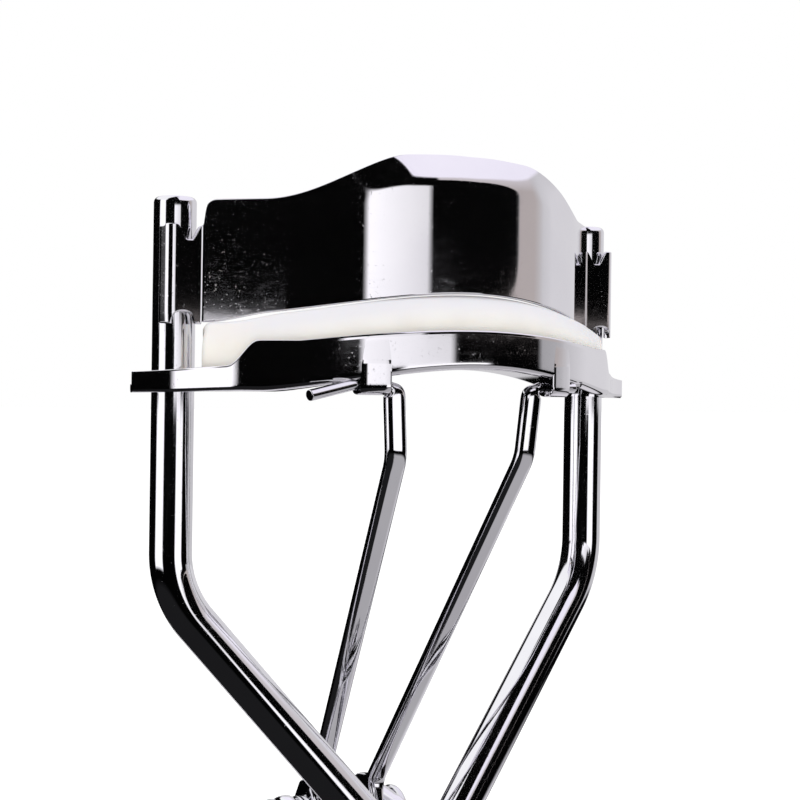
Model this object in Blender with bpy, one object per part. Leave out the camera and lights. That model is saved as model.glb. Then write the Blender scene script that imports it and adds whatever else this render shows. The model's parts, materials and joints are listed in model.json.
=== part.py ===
"""Eyelash curler: a wire frame that carries a curved upper plate, a lower jaw with a silicone pad that slides
on the frame's two rails, and a second wire with a finger ring, the lever, that moves the jaw through two links.

Shapes are worked out in millimetres in the cage's own directions: x to the right along the jaw, forward from
the plane of the rails, and height above the underside of the jaw's ends. world() turns such a point into
Blender's metres, with +Z up, -Y forward, and the origin under the pivot at the foot of the finger rings.
"""

import math

import bpy
from mathutils import Vector

MM = 0.001
GAP = 0.1
WASHER_GAP = 0.06

# The frame's wire, and the lever's.
WIRE_RADIUS = 1.5
WIRE_SIDES = 10
ROUND_SIDES = 20
BEND_STEPS = 5
RING_STEPS = 32
NECK_STEPS = 4
NEAREST_STATIONS = 0.22
RAIL_X = 17.7
RAIL_TOP = 13.2
RAIL_BEVEL = 0.4
RAIL_BEND_HEIGHT = -14.5
RAIL_BEND_RADIUS = 7.7
LEG_INWARD = 0.829
LEG_FORWARD = 0.24
STRAND_X = WIRE_RADIUS + 0.15
CROTCH_BEND_RADIUS = 3.0

# The pivot, and the two finger rings below it.
PIVOT_FORWARD = 7.2
PIVOT_HEIGHT = -37.3
RING_DROP = 42.0
RING_SPREAD = 13.4
RING_RADIUS = 11.5
NECK_RADIUS = 5.0
SHANK_BEND_RADIUS = 5.0
SHANK_STRAIGHT_FROM = 7.0
FOOT_HEIGHT = PIVOT_HEIGHT - RING_DROP - RING_RADIUS - WIRE_RADIUS

# The flattened eyes that the rivets pass through.
FRAME_EYE_HALF = 1.15
LEVER_EYE_HALF = 0.85
PIVOT_EYE_REACH = 2.3
EYE_STATIONS = 5
END_STATIONS = (0.15, 0.4, 0.8, 1.3, 2.2, 3.1, 3.9, 4.8, 5.8)
LEVER_X = 4.2
LEVER_BEND_RADIUS = 5.0
LEVER_CLOSED_AT = 19.0

# The rivet through the pivot, and the rivet that carries the links.
PIVOT_PIN_RADIUS = 1.25
LINK_PIN_RADIUS = 1.0
PIN_CLEARANCE = 0.08
PIVOT_HEAD_RADIUS = 2.6
LINK_HEAD_RADIUS = 2.1
LEVER_END_REACH = 2.25
END_FLAT = 0.05
HEAD_THICKNESS = 0.8
HEAD_BEVEL = 0.25
LINK_PIN_FORWARD = -8.5
LINK_PIN_HEIGHT = -34.3
SPACER_WALL = 0.4

# The links. Their eyes are loose on the link rivet.
LINK_X = 2.5
LINK_EYE_HALF = 0.5
LINK_EYE_REACH = 2.2
LINK_EYE_HOLE = 1.45
LINK_SPREADS_FROM = 3.4
LINK_BEND_RADII = (6.0, 3.0, 0.85, 1.5)
PIN_ROUNDS_OVER = 0.5
STRIP_X = 5.7
STRIP_BEND_X = 5.3
STRIP_BEND_FORWARD = 9.9
STRIP_HALF_WIDTH = 0.78
STRIP_HALF_DEPTH = 0.5
STRIP_BEND_HEIGHT = -4.8
FOOT_PIN_RADIUS = 0.38
LUG_FORWARD = 10.2
LUG_HEIGHT = 0.25
RIGHT_FOOT_END = (9.3, LUG_FORWARD, LUG_HEIGHT)
LEFT_FOOT_BEND = (8.9, LUG_FORWARD, LUG_HEIGHT)
LEFT_FOOT_END = (12.5, LUG_FORWARD + 0.75, LUG_HEIGHT - 0.75)

# The upper plate: an arc in plan that runs straight at both ends.
SHEET = 0.45
PLATE_ARC_RADIUS = 17.0
PLATE_APEX = 11.5
PLATE_ARC_END = 12.2
PLATE_END = 16.1
PLATE_CROWN = 16.3
PLATE_SHOULDER = 13.0
PLATE_ROLL_HEIGHT = 2.4
PLATE_ROLL_BACK = 1.3
PLATE_ROLL_LEAN = 0.75
PLATE_ROLL_END = 13.5
PLATE_ROLL_FADE = 6.0
PLATE_CROWN_DOME = 0.35
PLATE_CROWN_HALF = 6.0
PLATE_RISE_FROM = 13.0
PLATE_RISE_OVER = 9.5
PLATE_FOOT = 4.8
PLATE_ARCH = 1.8
PLATE_ROWS = (0.0, 0.25, 0.5, 0.7, 0.8, 0.87, 0.94, 1.0)
PLATE_COLUMNS = 36
TAB_TOP = 11.2
TAB_BOTTOM = 5.0
TAB_START_ANGLE = 128.0
TAB_END_ANGLE = 46.0
TAB_STEPS = 7
TAB_OVERLAP = 0.25

# The lower jaw: a channel on a flatter arc, with an ear round each rail.
JAW_ARC_RADIUS = 21.5
JAW_APEX = 12.0
PAD_WIDTH = 3.0
PAD_END_X = 17.2
PAD_END_WIDTH = 1.25
PAD_NARROWS_FROM = 12.5
PAD_NARROWS_OVER = 3.4
PAD_EDGE = 0.35
PAD_FOOT = 0.55
PAD_BELOW_PLATE = 0.25
PAD_COLUMNS = 28
CHANNEL_END = 15.7
CHANNEL_COLUMNS = 28
BACK_WALL_END = 11.5
BACK_WALL_SLOPES_OVER = 1.6
FLOOR_ARCH_END = 14.0
FLOOR_END_HEIGHT = -0.3
FLOOR_TIP_HEIGHT = -0.5
FLOOR_ARCH = 1.7
WALL_TOP = 3.2
WALL_ARCH = 0.9
WALL_ARCH_END = 12.0
WALL_END = 14.2
WALL_SLOPES_OVER = 1.5
EAR_TIP_X = 21.0
EAR_TIP_FORWARD = 0.8
EAR_RADIUS = 2.6
EAR_HOLE = WIRE_RADIUS + 0.25
EAR_FRONT_TOP = 1.45
EAR_TIP_TOP = 0.95
EAR_CUT_REACH = 3.0
EAR_STEPS = 14
EAR_BACK_FROM = math.radians(210.0)
EAR_BACK_TO = math.radians(338.0)
EAR_ROUNDS_FROM = 0.35
EAR_ROUNDS_TO = 0.9
LUG_INNER_X = 6.6
LUG_OUTER_X = 8.6
LUG_RADIUS = 0.85
LUG_HOLE = 0.5
LUG_BORE_INNER_X = 4.5
LUG_BORE_OUTER_X = 10.3

FERRULE_WALL = 0.6
FERRULE_EDGE = 0.2
FERRULE_LENGTH = 4.0
FERRULE_ABOVE_RING = 19.5


def world(point):
    """A point of the cage, in mm, as Blender's metres."""
    x, forward, height = point
    return Vector((x, PIVOT_FORWARD - forward, height - FOOT_HEIGHT)) * MM


def clear_scene():
    for obj in list(bpy.data.objects):
        bpy.data.objects.remove(obj, do_unlink=True)


def material(name, color, metallic, roughness):
    made = bpy.data.materials.new(name)
    made.use_nodes = True
    shader = made.node_tree.nodes["Principled BSDF"]
    shader.inputs["Base Color"].default_value = (*color, 1.0)
    shader.inputs["Metallic"].default_value = metallic
    shader.inputs["Roughness"].default_value = roughness
    return made


def chrome(name):
    return material(f"{name}_chrome", (0.78, 0.78, 0.80), 1.0, 0.06)


def node(name, points, faces, finish, origin=(0.0, PIVOT_FORWARD, FOOT_HEIGHT)):
    """An object whose origin is at the given point of the cage."""
    place = world(origin)
    mesh = bpy.data.meshes.new(name)
    mesh.from_pydata([world(point) - place for point in points], [], faces)
    mesh.materials.append(finish)
    mesh.shade_smooth()
    mesh.set_sharp_from_angle(angle=math.radians(35.0))
    made = bpy.data.objects.new(name, mesh)
    made.location = place
    bpy.context.collection.objects.link(made)
    return made


def loft(rings, closed=False):
    """Points and faces of a body through rings of equally many points, capped unless it closes on itself."""
    size = len(rings[0])
    points = [point for ring in rings for point in ring]
    faces = []
    for i in range(len(rings) if closed else len(rings) - 1):
        here = i * size
        there = (i + 1) % len(rings) * size
        for j in range(size):
            k = (j + 1) % size
            faces.append((here + j, here + k, there + k, there + j))
    if not closed:
        faces.append(tuple(reversed(range(size))))
        faces.append(tuple(range(len(points) - size, len(points))))
    return points, faces


def facing_out(points, faces):
    """The same body with its faces turned to point outwards in the cage's directions."""
    total = 0.0
    for face in faces:
        first = Vector(points[face[0]])
        for i in range(1, len(face) - 1):
            total += first.dot(Vector(points[face[i]]).cross(Vector(points[face[i + 1]])))
    # world() mirrors the forward direction, so a body that faces in here faces out in Blender.
    if total > 0.0:
        faces = [tuple(reversed(face)) for face in faces]
    return points, faces


def body(name, rings, finish, origin=(0.0, PIVOT_FORWARD, FOOT_HEIGHT), closed=False):
    points, faces = facing_out(*loft(rings, closed))
    return node(name, points, faces, finish, origin)


def helper(name, rings, closed=False):
    """A body that only takes part in a Boolean of another."""
    made = body(name, rings, None, closed=closed)
    made.hide_render = True
    made.display_type = "WIRE"
    return made


def join(target, other, operation):
    """Adds or cuts the helper with an exact Boolean."""
    made = target.modifiers.new(f"{operation.lower()}_{other.name}", "BOOLEAN")
    made.operation = operation
    made.solver = "EXACT"
    made.object = other


def smooth(t):
    t = min(max(t, 0.0), 1.0)
    return t * t * (3.0 - 2.0 * t)


def mix(a, b, t):
    return a + (b - a) * t


def spread(limit, count):
    """Values from -limit to limit, closer together at the ends."""
    return [limit * math.sin(math.pi / 2 * mix(-1.0, 1.0, i / count)) for i in range(count + 1)]


def filleted(corners, radii):
    """A polyline whose inner corners are rounded with the given radii."""
    path = [Vector(corners[0])]
    for before, corner, after, radius in zip(corners, corners[1:], corners[2:], radii):
        corner = Vector(corner)
        back = (Vector(before) - corner).normalized()
        ahead = (Vector(after) - corner).normalized()
        half = back.angle(ahead) / 2.0
        middle = corner + (back + ahead).normalized() * (radius / math.sin(half))
        start = corner + back * (radius / math.tan(half)) - middle
        end = corner + ahead * (radius / math.tan(half)) - middle
        turn = start.angle(end)
        for i in range(BEND_STEPS + 1):
            t = i / BEND_STEPS
            swing = start * math.sin((1.0 - t) * turn) + end * math.sin(t * turn)
            path.append(middle + swing / math.sin(turn))
    path.append(Vector(corners[-1]))
    return path


def refined(path, spots):
    """The path with a point added at each of the given distances along it."""
    made = []
    for spot in sorted(set(spots) | set(lengths_along(path))):
        made.append(point_along(path, spot))
    thin = [made[0]]
    for point in made[1:]:
        if (point - thin[-1]).length > NEAREST_STATIONS:
            thin.append(point)
    return thin


def lengths_along(path):
    total = [0.0]
    for a, b in zip(path, path[1:]):
        total.append(total[-1] + (Vector(b) - Vector(a)).length)
    return total


def point_along(path, distance):
    run = 0.0
    for a, b in zip(path, path[1:]):
        step = (b - a).length
        if run + step >= distance and step > 0.0:
            return a.lerp(b, (distance - run) / step)
        run += step
    return path[-1].copy()


def tangents(path):
    steps = [(b - a).normalized() for a, b in zip(path, path[1:])]
    return [(a + b).normalized() for a, b in zip(steps[:1] + steps, steps + steps[-1:])]


def swept(path, section, sides, follow=False):
    """Rings of an elliptic section along a path. The section's first half-width lies nearest the x direction
    or, with follow, starts there and turns with the path."""
    rings = []
    side = Vector((1.0, 0.0, 0.0))
    for place, ahead in zip(path, tangents(path)):
        if not follow:
            side = Vector((1.0, 0.0, 0.0))
        side = (side - ahead * side.dot(ahead)).normalized()
        other = ahead.cross(side)
        first, second = section(place)
        rings.append([
            place + side * (first * math.cos(angle)) + other * (second * math.sin(angle))
            for angle in (math.tau * (i + 0.5) / sides for i in range(sides))
        ])
    return rings


def disc_rings(x_radii, forward, height):
    """Rings of a turned body about an axis along x, from pairs of x and radius."""
    return [
        [
            (x, forward + radius * math.cos(angle), height + radius * math.sin(angle))
            for angle in (math.tau * i / ROUND_SIDES for i in range(ROUND_SIDES))
        ]
        for x, radius in x_radii
    ]


def across(radius, forward, height, x_from, x_to):
    return disc_rings([(x_from, radius), (x_to, radius)], forward, height)


def pierce(target, name, radius, forward, height, reach):
    """Drills a hole along x through the whole object."""
    join(target, helper(name, across(radius, forward, height, -reach, reach)), "DIFFERENCE")


def ring_centre(forward_sign):
    return PIVOT_FORWARD + forward_sign * RING_SPREAD, PIVOT_HEIGHT - RING_DROP


def shank_axes(forward_sign):
    """Unit vectors from the ring's centre up the shank, and across it, as (forward, height)."""
    length = math.hypot(RING_SPREAD, RING_DROP)
    up = Vector((-forward_sign * RING_SPREAD / length, RING_DROP / length))
    return up, Vector((up.y, -up.x))


def shank_point(forward_sign, x, above_ring):
    forward, height = ring_centre(forward_sign)
    up, _ = shank_axes(forward_sign)
    return Vector((x, forward + up.x * above_ring, height + up.y * above_ring))


def neck_height():
    return math.sqrt((RING_RADIUS + NECK_RADIUS) ** 2 - NECK_RADIUS ** 2)


def ring_loop(forward_sign):
    """The finger ring, from the left strand's neck round to the right strand's."""
    forward, height = ring_centre(forward_sign)
    up, side = shank_axes(forward_sign)
    neck = neck_height()
    opening = math.asin(NECK_RADIUS / (RING_RADIUS + NECK_RADIUS))
    flat = []
    for i in range(NECK_STEPS):
        turn = (math.pi / 2.0 - opening) * i / NECK_STEPS
        across_by = NECK_RADIUS * (1.0 - math.cos(turn))
        flat.append((across_by, neck - NECK_RADIUS * math.sin(turn)))
    arc = []
    for i in range(RING_STEPS + 1):
        angle = opening + (math.tau - 2.0 * opening) * i / RING_STEPS
        arc.append((RING_RADIUS * math.sin(angle), RING_RADIUS * math.cos(angle)))
    profile = flat + arc + [(-a, b) for a, b in reversed(flat)]
    path = []
    for i, (a, b) in enumerate(profile):
        x = mix(-STRAND_X, STRAND_X, smooth(i / (len(profile) - 1)))
        path.append(Vector((x, forward + side.x * a + up.x * b, height + side.y * a + up.y * b)))
    return path


def mirrored(path):
    return [Vector((-point.x, point.y, point.z)) for point in path]


def wire_path(half, forward_sign):
    """A wire from its left end down to the ring, round it, and back up to its right end. half is the right
    side from its end to the ring's neck."""
    return mirrored(half)[:-1] + ring_loop(forward_sign) + list(reversed(half))[1:]


def pivot_point(x):
    return Vector((x, PIVOT_FORWARD, PIVOT_HEIGHT))


def spots_round(path, target, reach):
    """Distances along the path, evenly spread on both sides of its nearest point to the target."""
    total = lengths_along(path)
    near = min(range(len(path)), key=lambda i: (path[i] - target).length)
    return [total[near] + reach * i / EYE_STATIONS for i in range(-EYE_STATIONS, EYE_STATIONS + 1)]


def flattened(half_x, half_across, distance, reach):
    """The half-widths of a round wire that is pressed flat within reach of a rivet."""
    t = smooth((distance - reach) / reach)
    return mix(half_x, WIRE_RADIUS, t), mix(half_across, WIRE_RADIUS, t)


def rounded_end(reach, distance):
    """The half-width of a round eye at a distance from its middle, a little wider than nothing at its end."""
    return math.sqrt(max(reach ** 2 - distance ** 2, 0.25))


def corner_round_pivot(pivot, before, after, radius):
    """Where two straight runs have to meet for their rounded bend to pass through the pivot's axis."""
    turn = before.angle(after)
    return pivot + (before - after).normalized() * radius * (1.0 / math.cos(turn / 2.0) - 1.0)


def frame_half():
    leg = (RAIL_X - STRAND_X) / LEG_INWARD
    crotch = Vector((STRAND_X, LEG_FORWARD * leg, RAIL_BEND_HEIGHT - leg))
    pivot = pivot_point(STRAND_X)
    before = (pivot - crotch).normalized()
    after = (shank_point(-1, STRAND_X, 0.0) - pivot).normalized()
    corners = [
        (RAIL_X, 0.0, RAIL_TOP),
        (RAIL_X, 0.0, RAIL_BEND_HEIGHT),
        crotch,
        corner_round_pivot(pivot, before, after, SHANK_BEND_RADIUS),
        shank_point(-1, STRAND_X, math.hypot(RING_SPREAD, RING_DROP) - SHANK_STRAIGHT_FROM),
        shank_point(-1, STRAND_X, neck_height()),
    ]
    path = filleted(corners, (RAIL_BEND_RADIUS, CROTCH_BEND_RADIUS, SHANK_BEND_RADIUS, 2 * SHANK_BEND_RADIUS))
    spots = spots_round(path, pivot_point(STRAND_X), 2.0 * PIVOT_EYE_REACH)
    return refined(path, spots + [RAIL_BEVEL])


def frame_section(place):
    """Round, with a bevelled top to each rail, and pressed flat at the pivot."""
    if place.z > RAIL_TOP - RAIL_BEVEL / 2:
        return WIRE_RADIUS - RAIL_BEVEL, WIRE_RADIUS - RAIL_BEVEL
    distance = (place - pivot_point(math.copysign(STRAND_X, place.x))).length
    return flattened(FRAME_EYE_HALF, PIVOT_EYE_REACH, distance, PIVOT_EYE_REACH)


def frame_wire():
    """Both rails, the legs, the shank and the rear finger ring: one bent wire."""
    rings = swept(wire_path(frame_half(), -1), frame_section, WIRE_SIDES)
    made = body("frame_wire", rings, chrome("frame_wire"))
    pierce(made, "frame_eye_hole", PIVOT_PIN_RADIUS + PIN_CLEARANCE, PIVOT_FORWARD, PIVOT_HEIGHT, RAIL_X / 2)
    return made


def lever_half():
    start = Vector((LEVER_X, LINK_PIN_FORWARD, LINK_PIN_HEIGHT))
    pivot = pivot_point(LEVER_X)
    arm = (pivot - start).normalized()
    shank = math.hypot(RING_SPREAD, RING_DROP)
    down = (shank_point(1, LEVER_X, 0.0) - pivot).normalized()
    corners = [
        start - arm * (LEVER_END_REACH - END_FLAT),
        corner_round_pivot(pivot, arm, down, LEVER_BEND_RADIUS),
        shank_point(1, LEVER_X, shank - SHANK_STRAIGHT_FROM),
        shank_point(1, STRAND_X, shank - LEVER_CLOSED_AT),
        shank_point(1, STRAND_X, neck_height()),
    ]
    path = filleted(corners, (LEVER_BEND_RADIUS, 2 * LEVER_BEND_RADIUS, 2 * LEVER_BEND_RADIUS))
    return refined(path, spots_round(path, pivot, 2.0 * PIVOT_EYE_REACH) + list(END_STATIONS))


def lever_section(place):
    """Flat and rounded at the upper end, flat again at the pivot, and round elsewhere."""
    x = math.copysign(LEVER_X, place.x)
    end_distance = (place - Vector((x, LINK_PIN_FORWARD, LINK_PIN_HEIGHT))).length
    reach = LEVER_END_REACH
    if end_distance < reach and place.y < LINK_PIN_FORWARD:
        return LEVER_EYE_HALF, rounded_end(reach, end_distance)
    if end_distance < 3.0 * reach:
        return flattened(LEVER_EYE_HALF, reach, end_distance, reach)
    return flattened(LEVER_EYE_HALF, PIVOT_EYE_REACH, (place - pivot_point(x)).length, PIVOT_EYE_REACH)


def lever_wire():
    """The arm to the links, the shank and the front finger ring: one bent wire."""
    rings = swept(wire_path(lever_half(), 1), lever_section, WIRE_SIDES)
    made = body("lever_wire", rings, chrome("lever_wire"), origin=(0.0, PIVOT_FORWARD, PIVOT_HEIGHT))
    reach = 2 * LEVER_X
    pierce(made, "lever_eye_hole", PIVOT_PIN_RADIUS + PIN_CLEARANCE, PIVOT_FORWARD, PIVOT_HEIGHT, reach)
    pierce(made, "lever_end_hole", LINK_PIN_RADIUS + PIN_CLEARANCE, LINK_PIN_FORWARD, LINK_PIN_HEIGHT, reach)
    return made


def ferrule(name, forward_sign, origin):
    """The oval sleeve that holds the two strands together above a finger ring."""
    up, side = shank_axes(forward_sign)
    rings = []
    inner = WIRE_RADIUS + GAP
    outer = inner + FERRULE_WALL
    half = FERRULE_LENGTH / 2.0
    edge = outer - FERRULE_EDGE
    stations = [(-half, inner), (-half, edge), (FERRULE_EDGE - half, outer)]
    stations += [(half - FERRULE_EDGE, outer), (half, edge), (half, inner)]
    for along, radius in stations:
        centre = shank_point(forward_sign, 0.0, FERRULE_ABOVE_RING + along)
        ring = []
        for i in range(ROUND_SIDES):
            angle = math.tau * (i + 0.5) / ROUND_SIDES
            x = math.copysign(STRAND_X, math.cos(angle)) + radius * math.cos(angle)
            across_by = radius * math.sin(angle)
            ring.append(centre + Vector((x, side.x * across_by, side.y * across_by)))
        rings.append(ring)
    return body(name, rings, chrome(name), origin, closed=True)


def rivet(name, radius, head_radius, inner_x, forward, height, origin):
    """A shank with a head at each end, each head flat in the middle."""
    outer_x = inner_x + HEAD_THICKNESS
    right = [
        (inner_x, radius),
        (inner_x, head_radius),
        (outer_x - HEAD_BEVEL, head_radius),
        (outer_x, head_radius - 2 * HEAD_BEVEL),
    ]
    profile = [(-x, r) for x, r in reversed(right)] + right
    return body(name, disc_rings(profile, forward, height), chrome(name), origin)


def washer(name, hole, radius, x_from, x_to, forward, height, origin):
    profile = [(x_from, hole), (x_from, radius), (x_to, radius), (x_to, hole)]
    return body(name, disc_rings(profile, forward, height), chrome(name), origin, closed=True)


def pivot_hardware():
    place = (PIVOT_FORWARD, PIVOT_HEIGHT)
    origin = (0.0, *place)
    inner_x = LEVER_X + LEVER_EYE_HALF + GAP
    rivet("pivot_rivet", PIVOT_PIN_RADIUS, PIVOT_HEAD_RADIUS, inner_x, *place, origin)
    near = STRAND_X + FRAME_EYE_HALF + GAP
    far = LEVER_X - LEVER_EYE_HALF - GAP
    hole = PIVOT_PIN_RADIUS + PIN_CLEARANCE
    washer("left_pivot_washer", hole, PIVOT_HEAD_RADIUS, -far, -near, *place, origin)
    washer("right_pivot_washer", hole, PIVOT_HEAD_RADIUS, near, far, *place, origin)


def link_hardware():
    place = (LINK_PIN_FORWARD, LINK_PIN_HEIGHT)
    origin = (0.0, PIVOT_FORWARD, PIVOT_HEIGHT)
    inner_x = LEVER_X + LEVER_EYE_HALF + GAP
    rivet("link_rivet", LINK_PIN_RADIUS, LINK_HEAD_RADIUS, inner_x, *place, origin)
    near = LINK_X + LINK_EYE_HALF + WASHER_GAP
    far = LEVER_X - LEVER_EYE_HALF - WASHER_GAP
    hole = LINK_PIN_RADIUS + PIN_CLEARANCE
    washer("left_link_washer", hole, LINK_HEAD_RADIUS, -far, -near, *place, origin)
    washer("right_link_washer", hole, LINK_HEAD_RADIUS, near, far, *place, origin)
    spacer_end = LINK_X - LINK_EYE_HALF - GAP
    washer("link_spacer", hole, hole + SPACER_WALL, -spacer_end, spacer_end, *place, origin)


def link_section(place):
    """A round foot pin, a flat strip, and a flat round eye at the lower end."""
    eye = Vector((math.copysign(LINK_X, place.x), LINK_PIN_FORWARD, LINK_PIN_HEIGHT))
    distance = (place - eye).length
    if distance < LINK_EYE_REACH and place.z < LINK_PIN_HEIGHT:
        return LINK_EYE_HALF, rounded_end(LINK_EYE_REACH, distance)
    if distance < 3.0 * LINK_EYE_REACH:
        t = smooth((distance - LINK_EYE_REACH) / LINK_EYE_REACH)
        return mix(LINK_EYE_HALF, STRIP_HALF_WIDTH, t), mix(LINK_EYE_REACH, STRIP_HALF_DEPTH, t)
    t = smooth((abs(place.x) - STRIP_X + 0.1) / PIN_ROUNDS_OVER)
    return mix(STRIP_HALF_WIDTH, FOOT_PIN_RADIUS, t), mix(STRIP_HALF_DEPTH, FOOT_PIN_RADIUS, t)


def link_path(foot):
    """From the lower eye up the strip and out along the foot pin, on the right side."""
    eye = Vector((LINK_X, LINK_PIN_FORWARD, LINK_PIN_HEIGHT))
    bend = Vector((STRIP_BEND_X, STRIP_BEND_FORWARD, STRIP_BEND_HEIGHT))
    up = Vector((0.0, bend.y - eye.y, bend.z - eye.z)).normalized()
    start = eye - up * (LINK_EYE_REACH - END_FLAT)
    corners = [start, eye + up * LINK_SPREADS_FROM, bend, (STRIP_X, LUG_FORWARD, LUG_HEIGHT), *foot]
    path = filleted(corners, LINK_BEND_RADII)
    return refined(path, END_STATIONS)


def link(name, side, foot):
    path = link_path(foot)
    if side < 0:
        path = mirrored(path)
    rings = swept(path, link_section, WIRE_SIDES, follow=True)
    made = body(name, rings, chrome(name), origin=(0.0, LUG_FORWARD, LUG_HEIGHT))
    pierce(made, f"{name}_hole", LINK_EYE_HOLE, LINK_PIN_FORWARD, LINK_PIN_HEIGHT, STRIP_X)
    return made


def plate_plan(x):
    """How far forward the plate's front surface stands, and its outward normal in plan."""
    centre = PLATE_APEX - PLATE_ARC_RADIUS
    along = min(abs(x), PLATE_ARC_END)
    depth = math.sqrt(PLATE_ARC_RADIUS ** 2 - along ** 2)
    slope = along / depth
    forward = centre + depth - slope * (abs(x) - along)
    normal = Vector((math.copysign(slope, x), 1.0, 0.0)).normalized()
    return forward, normal


def arch(x, end, power=1.0):
    """1 in the middle, falling to 0 at both ends."""
    return max(math.cos(math.pi / 2 * min(abs(x) / end, 1.0)), 0.0) ** power


def plate_bottom(x):
    return PLATE_FOOT + PLATE_ARCH * arch(x, PLATE_END, 1.4)


def plate_top(x):
    """Flat shoulders that rise to a crown in the middle."""
    rise = smooth((PLATE_RISE_FROM - abs(x)) / PLATE_RISE_OVER)
    dome = PLATE_CROWN_DOME * (1.0 - min(abs(x) / PLATE_CROWN_HALF, 1.0) ** 2)
    return mix(PLATE_SHOULDER, PLATE_CROWN - PLATE_CROWN_DOME, rise) + dome


def plate_point(x, v, inset):
    """A point of the plate, v from 0 at the lower edge to 1 at the top, inset behind the front surface."""
    forward, normal = plate_plan(x)
    low, high = plate_bottom(x), plate_top(x)
    height = mix(low, high, v)
    rolled = max(0.0, (height - (high - PLATE_ROLL_HEIGHT)) / PLATE_ROLL_HEIGHT)
    fade = smooth((PLATE_ROLL_END - abs(x)) / PLATE_ROLL_FADE)
    lean = PLATE_ROLL_LEAN * rolled * fade
    inward = inset * (1.0 - 0.25 * lean) + PLATE_ROLL_BACK * rolled ** 2 * fade
    return Vector((x, forward, height)) - normal * inward - Vector((0.0, 0.0, inset * lean * 0.6))


def plate_rings():
    """Closed sections of the sheet from its left end to its right."""
    rings = []
    for x in spread(PLATE_END, PLATE_COLUMNS):
        front = [plate_point(x, v, 0.0) for v in PLATE_ROWS]
        back = [plate_point(x, v, SHEET) for v in reversed(PLATE_ROWS)]
        rings.append(front + back)
    return rings


def tab_rings(side):
    """The plate's end tab, from inside the plate round the front of the rail."""
    inner = WIRE_RADIUS + GAP
    forward, normal = plate_plan(PLATE_END)
    start = Vector((PLATE_END - TAB_OVERLAP, forward + TAB_OVERLAP, 0.0)) - normal * SHEET / 2
    plan = [(start, normal, SHEET * 0.8)]
    for i in range(TAB_STEPS):
        angle = math.radians(mix(TAB_START_ANGLE, TAB_END_ANGLE, i / (TAB_STEPS - 1)))
        out = Vector((math.cos(angle), math.sin(angle), 0.0))
        plan.append((Vector((RAIL_X, 0.0, 0.0)) + out * (inner + SHEET / 2), out, SHEET))
    rings = []
    for place, out, thick in plan:
        front = place + out * thick / 2
        back = place - out * thick / 2
        ring = [(front, TAB_BOTTOM), (front, TAB_TOP), (back, TAB_TOP), (back, TAB_BOTTOM)]
        rings.append([Vector((side * point.x, point.y, height)) for point, height in ring])
    return rings


def upper_plate():
    made = body("upper_plate", plate_rings(), chrome("upper_plate"))
    join(made, helper("left_tab", tab_rings(-1)), "UNION")
    join(made, helper("right_tab", tab_rings(1)), "UNION")
    return made


def jaw_plan(x):
    """The front line of the pad, and its outward normal in plan."""
    centre = JAW_APEX - JAW_ARC_RADIUS
    depth = math.sqrt(JAW_ARC_RADIUS ** 2 - x ** 2)
    return Vector((x, centre + depth, 0.0)), Vector((x, depth, 0.0)).normalized()


def floor_under(x):
    """Height of the underside of the jaw's floor, which arches up in the middle."""
    droop = min(max(abs(x) - CHANNEL_END, 0.0), 1.0)
    return mix(FLOOR_END_HEIGHT, FLOOR_TIP_HEIGHT, droop) + FLOOR_ARCH * arch(x, FLOOR_ARCH_END, 1.3)


def wall_top(x):
    """Height of the channel's walls, cut down at the corners."""
    top = WALL_TOP + WALL_ARCH * arch(x, WALL_ARCH_END)
    ear = mix(EAR_FRONT_TOP, EAR_TIP_TOP, min(max(abs(x) - CHANNEL_END, 0.0), 1.0))
    return mix(top, ear, smooth((abs(x) - WALL_END) / WALL_SLOPES_OVER))


def pad_width(x):
    return mix(PAD_WIDTH, PAD_END_WIDTH, smooth((abs(x) - PAD_NARROWS_FROM) / PAD_NARROWS_OVER))


def bezier(first, second, third, fourth, t):
    u = 1.0 - t
    return first * u ** 3 + second * (3 * u * u * t) + third * (3 * u * t * t) + fourth * t ** 3


def ear_lines(t):
    """Plan points of the right ear's front and back edges, t from 0 at the channel to 1 at the tip."""
    place, out = jaw_plan(CHANNEL_END)
    start = place + out * (SHEET + GAP)
    end = place - out * (PAD_WIDTH + SHEET + GAP)
    ahead = Vector((out.y, -out.x, 0.0))
    tip = Vector((EAR_TIP_X, EAR_TIP_FORWARD, 0.0))
    front = bezier(start, start + ahead * 2.4, tip + Vector((-2.6, 1.8, 0.0)), tip, t)
    rail = Vector((RAIL_X, 0.0, 0.0))
    round_by = (t - EAR_ROUNDS_FROM) / (EAR_ROUNDS_TO - EAR_ROUNDS_FROM)
    angle = mix(EAR_BACK_FROM, EAR_BACK_TO, min(max(round_by, 0.0), 1.0))
    back = rail + Vector((math.cos(angle), math.sin(angle), 0.0)) * EAR_RADIUS
    if t < EAR_ROUNDS_FROM:
        heading = Vector((math.sin(EAR_BACK_FROM), -math.cos(EAR_BACK_FROM), 0.0))
        back = bezier(end, end + ahead * 1.2, back + heading * 1.6, back, t / EAR_ROUNDS_FROM)
    elif t > EAR_ROUNDS_TO:
        back = back.lerp(tip - Vector((0.05, 0.55, 0.0)), (t - EAR_ROUNDS_TO) / (1.0 - EAR_ROUNDS_TO))
    return front, back


def jaw_stations():
    """The plan points of the jaw's front and back edges from tip to tip, each with its channel coordinate."""
    ears = []
    for i in range(1, EAR_STEPS + 1):
        t = i / EAR_STEPS
        front, back = ear_lines(t)
        ears.append((front, back, CHANNEL_END + t))
    channel = []
    for i in range(CHANNEL_COLUMNS + 1):
        x = mix(-CHANNEL_END, CHANNEL_END, i / CHANNEL_COLUMNS)
        place, out = jaw_plan(x)
        channel.append((place + out * (SHEET + GAP), place - out * (PAD_WIDTH + SHEET + GAP), x))
    left = [(*mirrored((front, back)), -x) for front, back, x in reversed(ears)]
    return left + channel + ears


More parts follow.
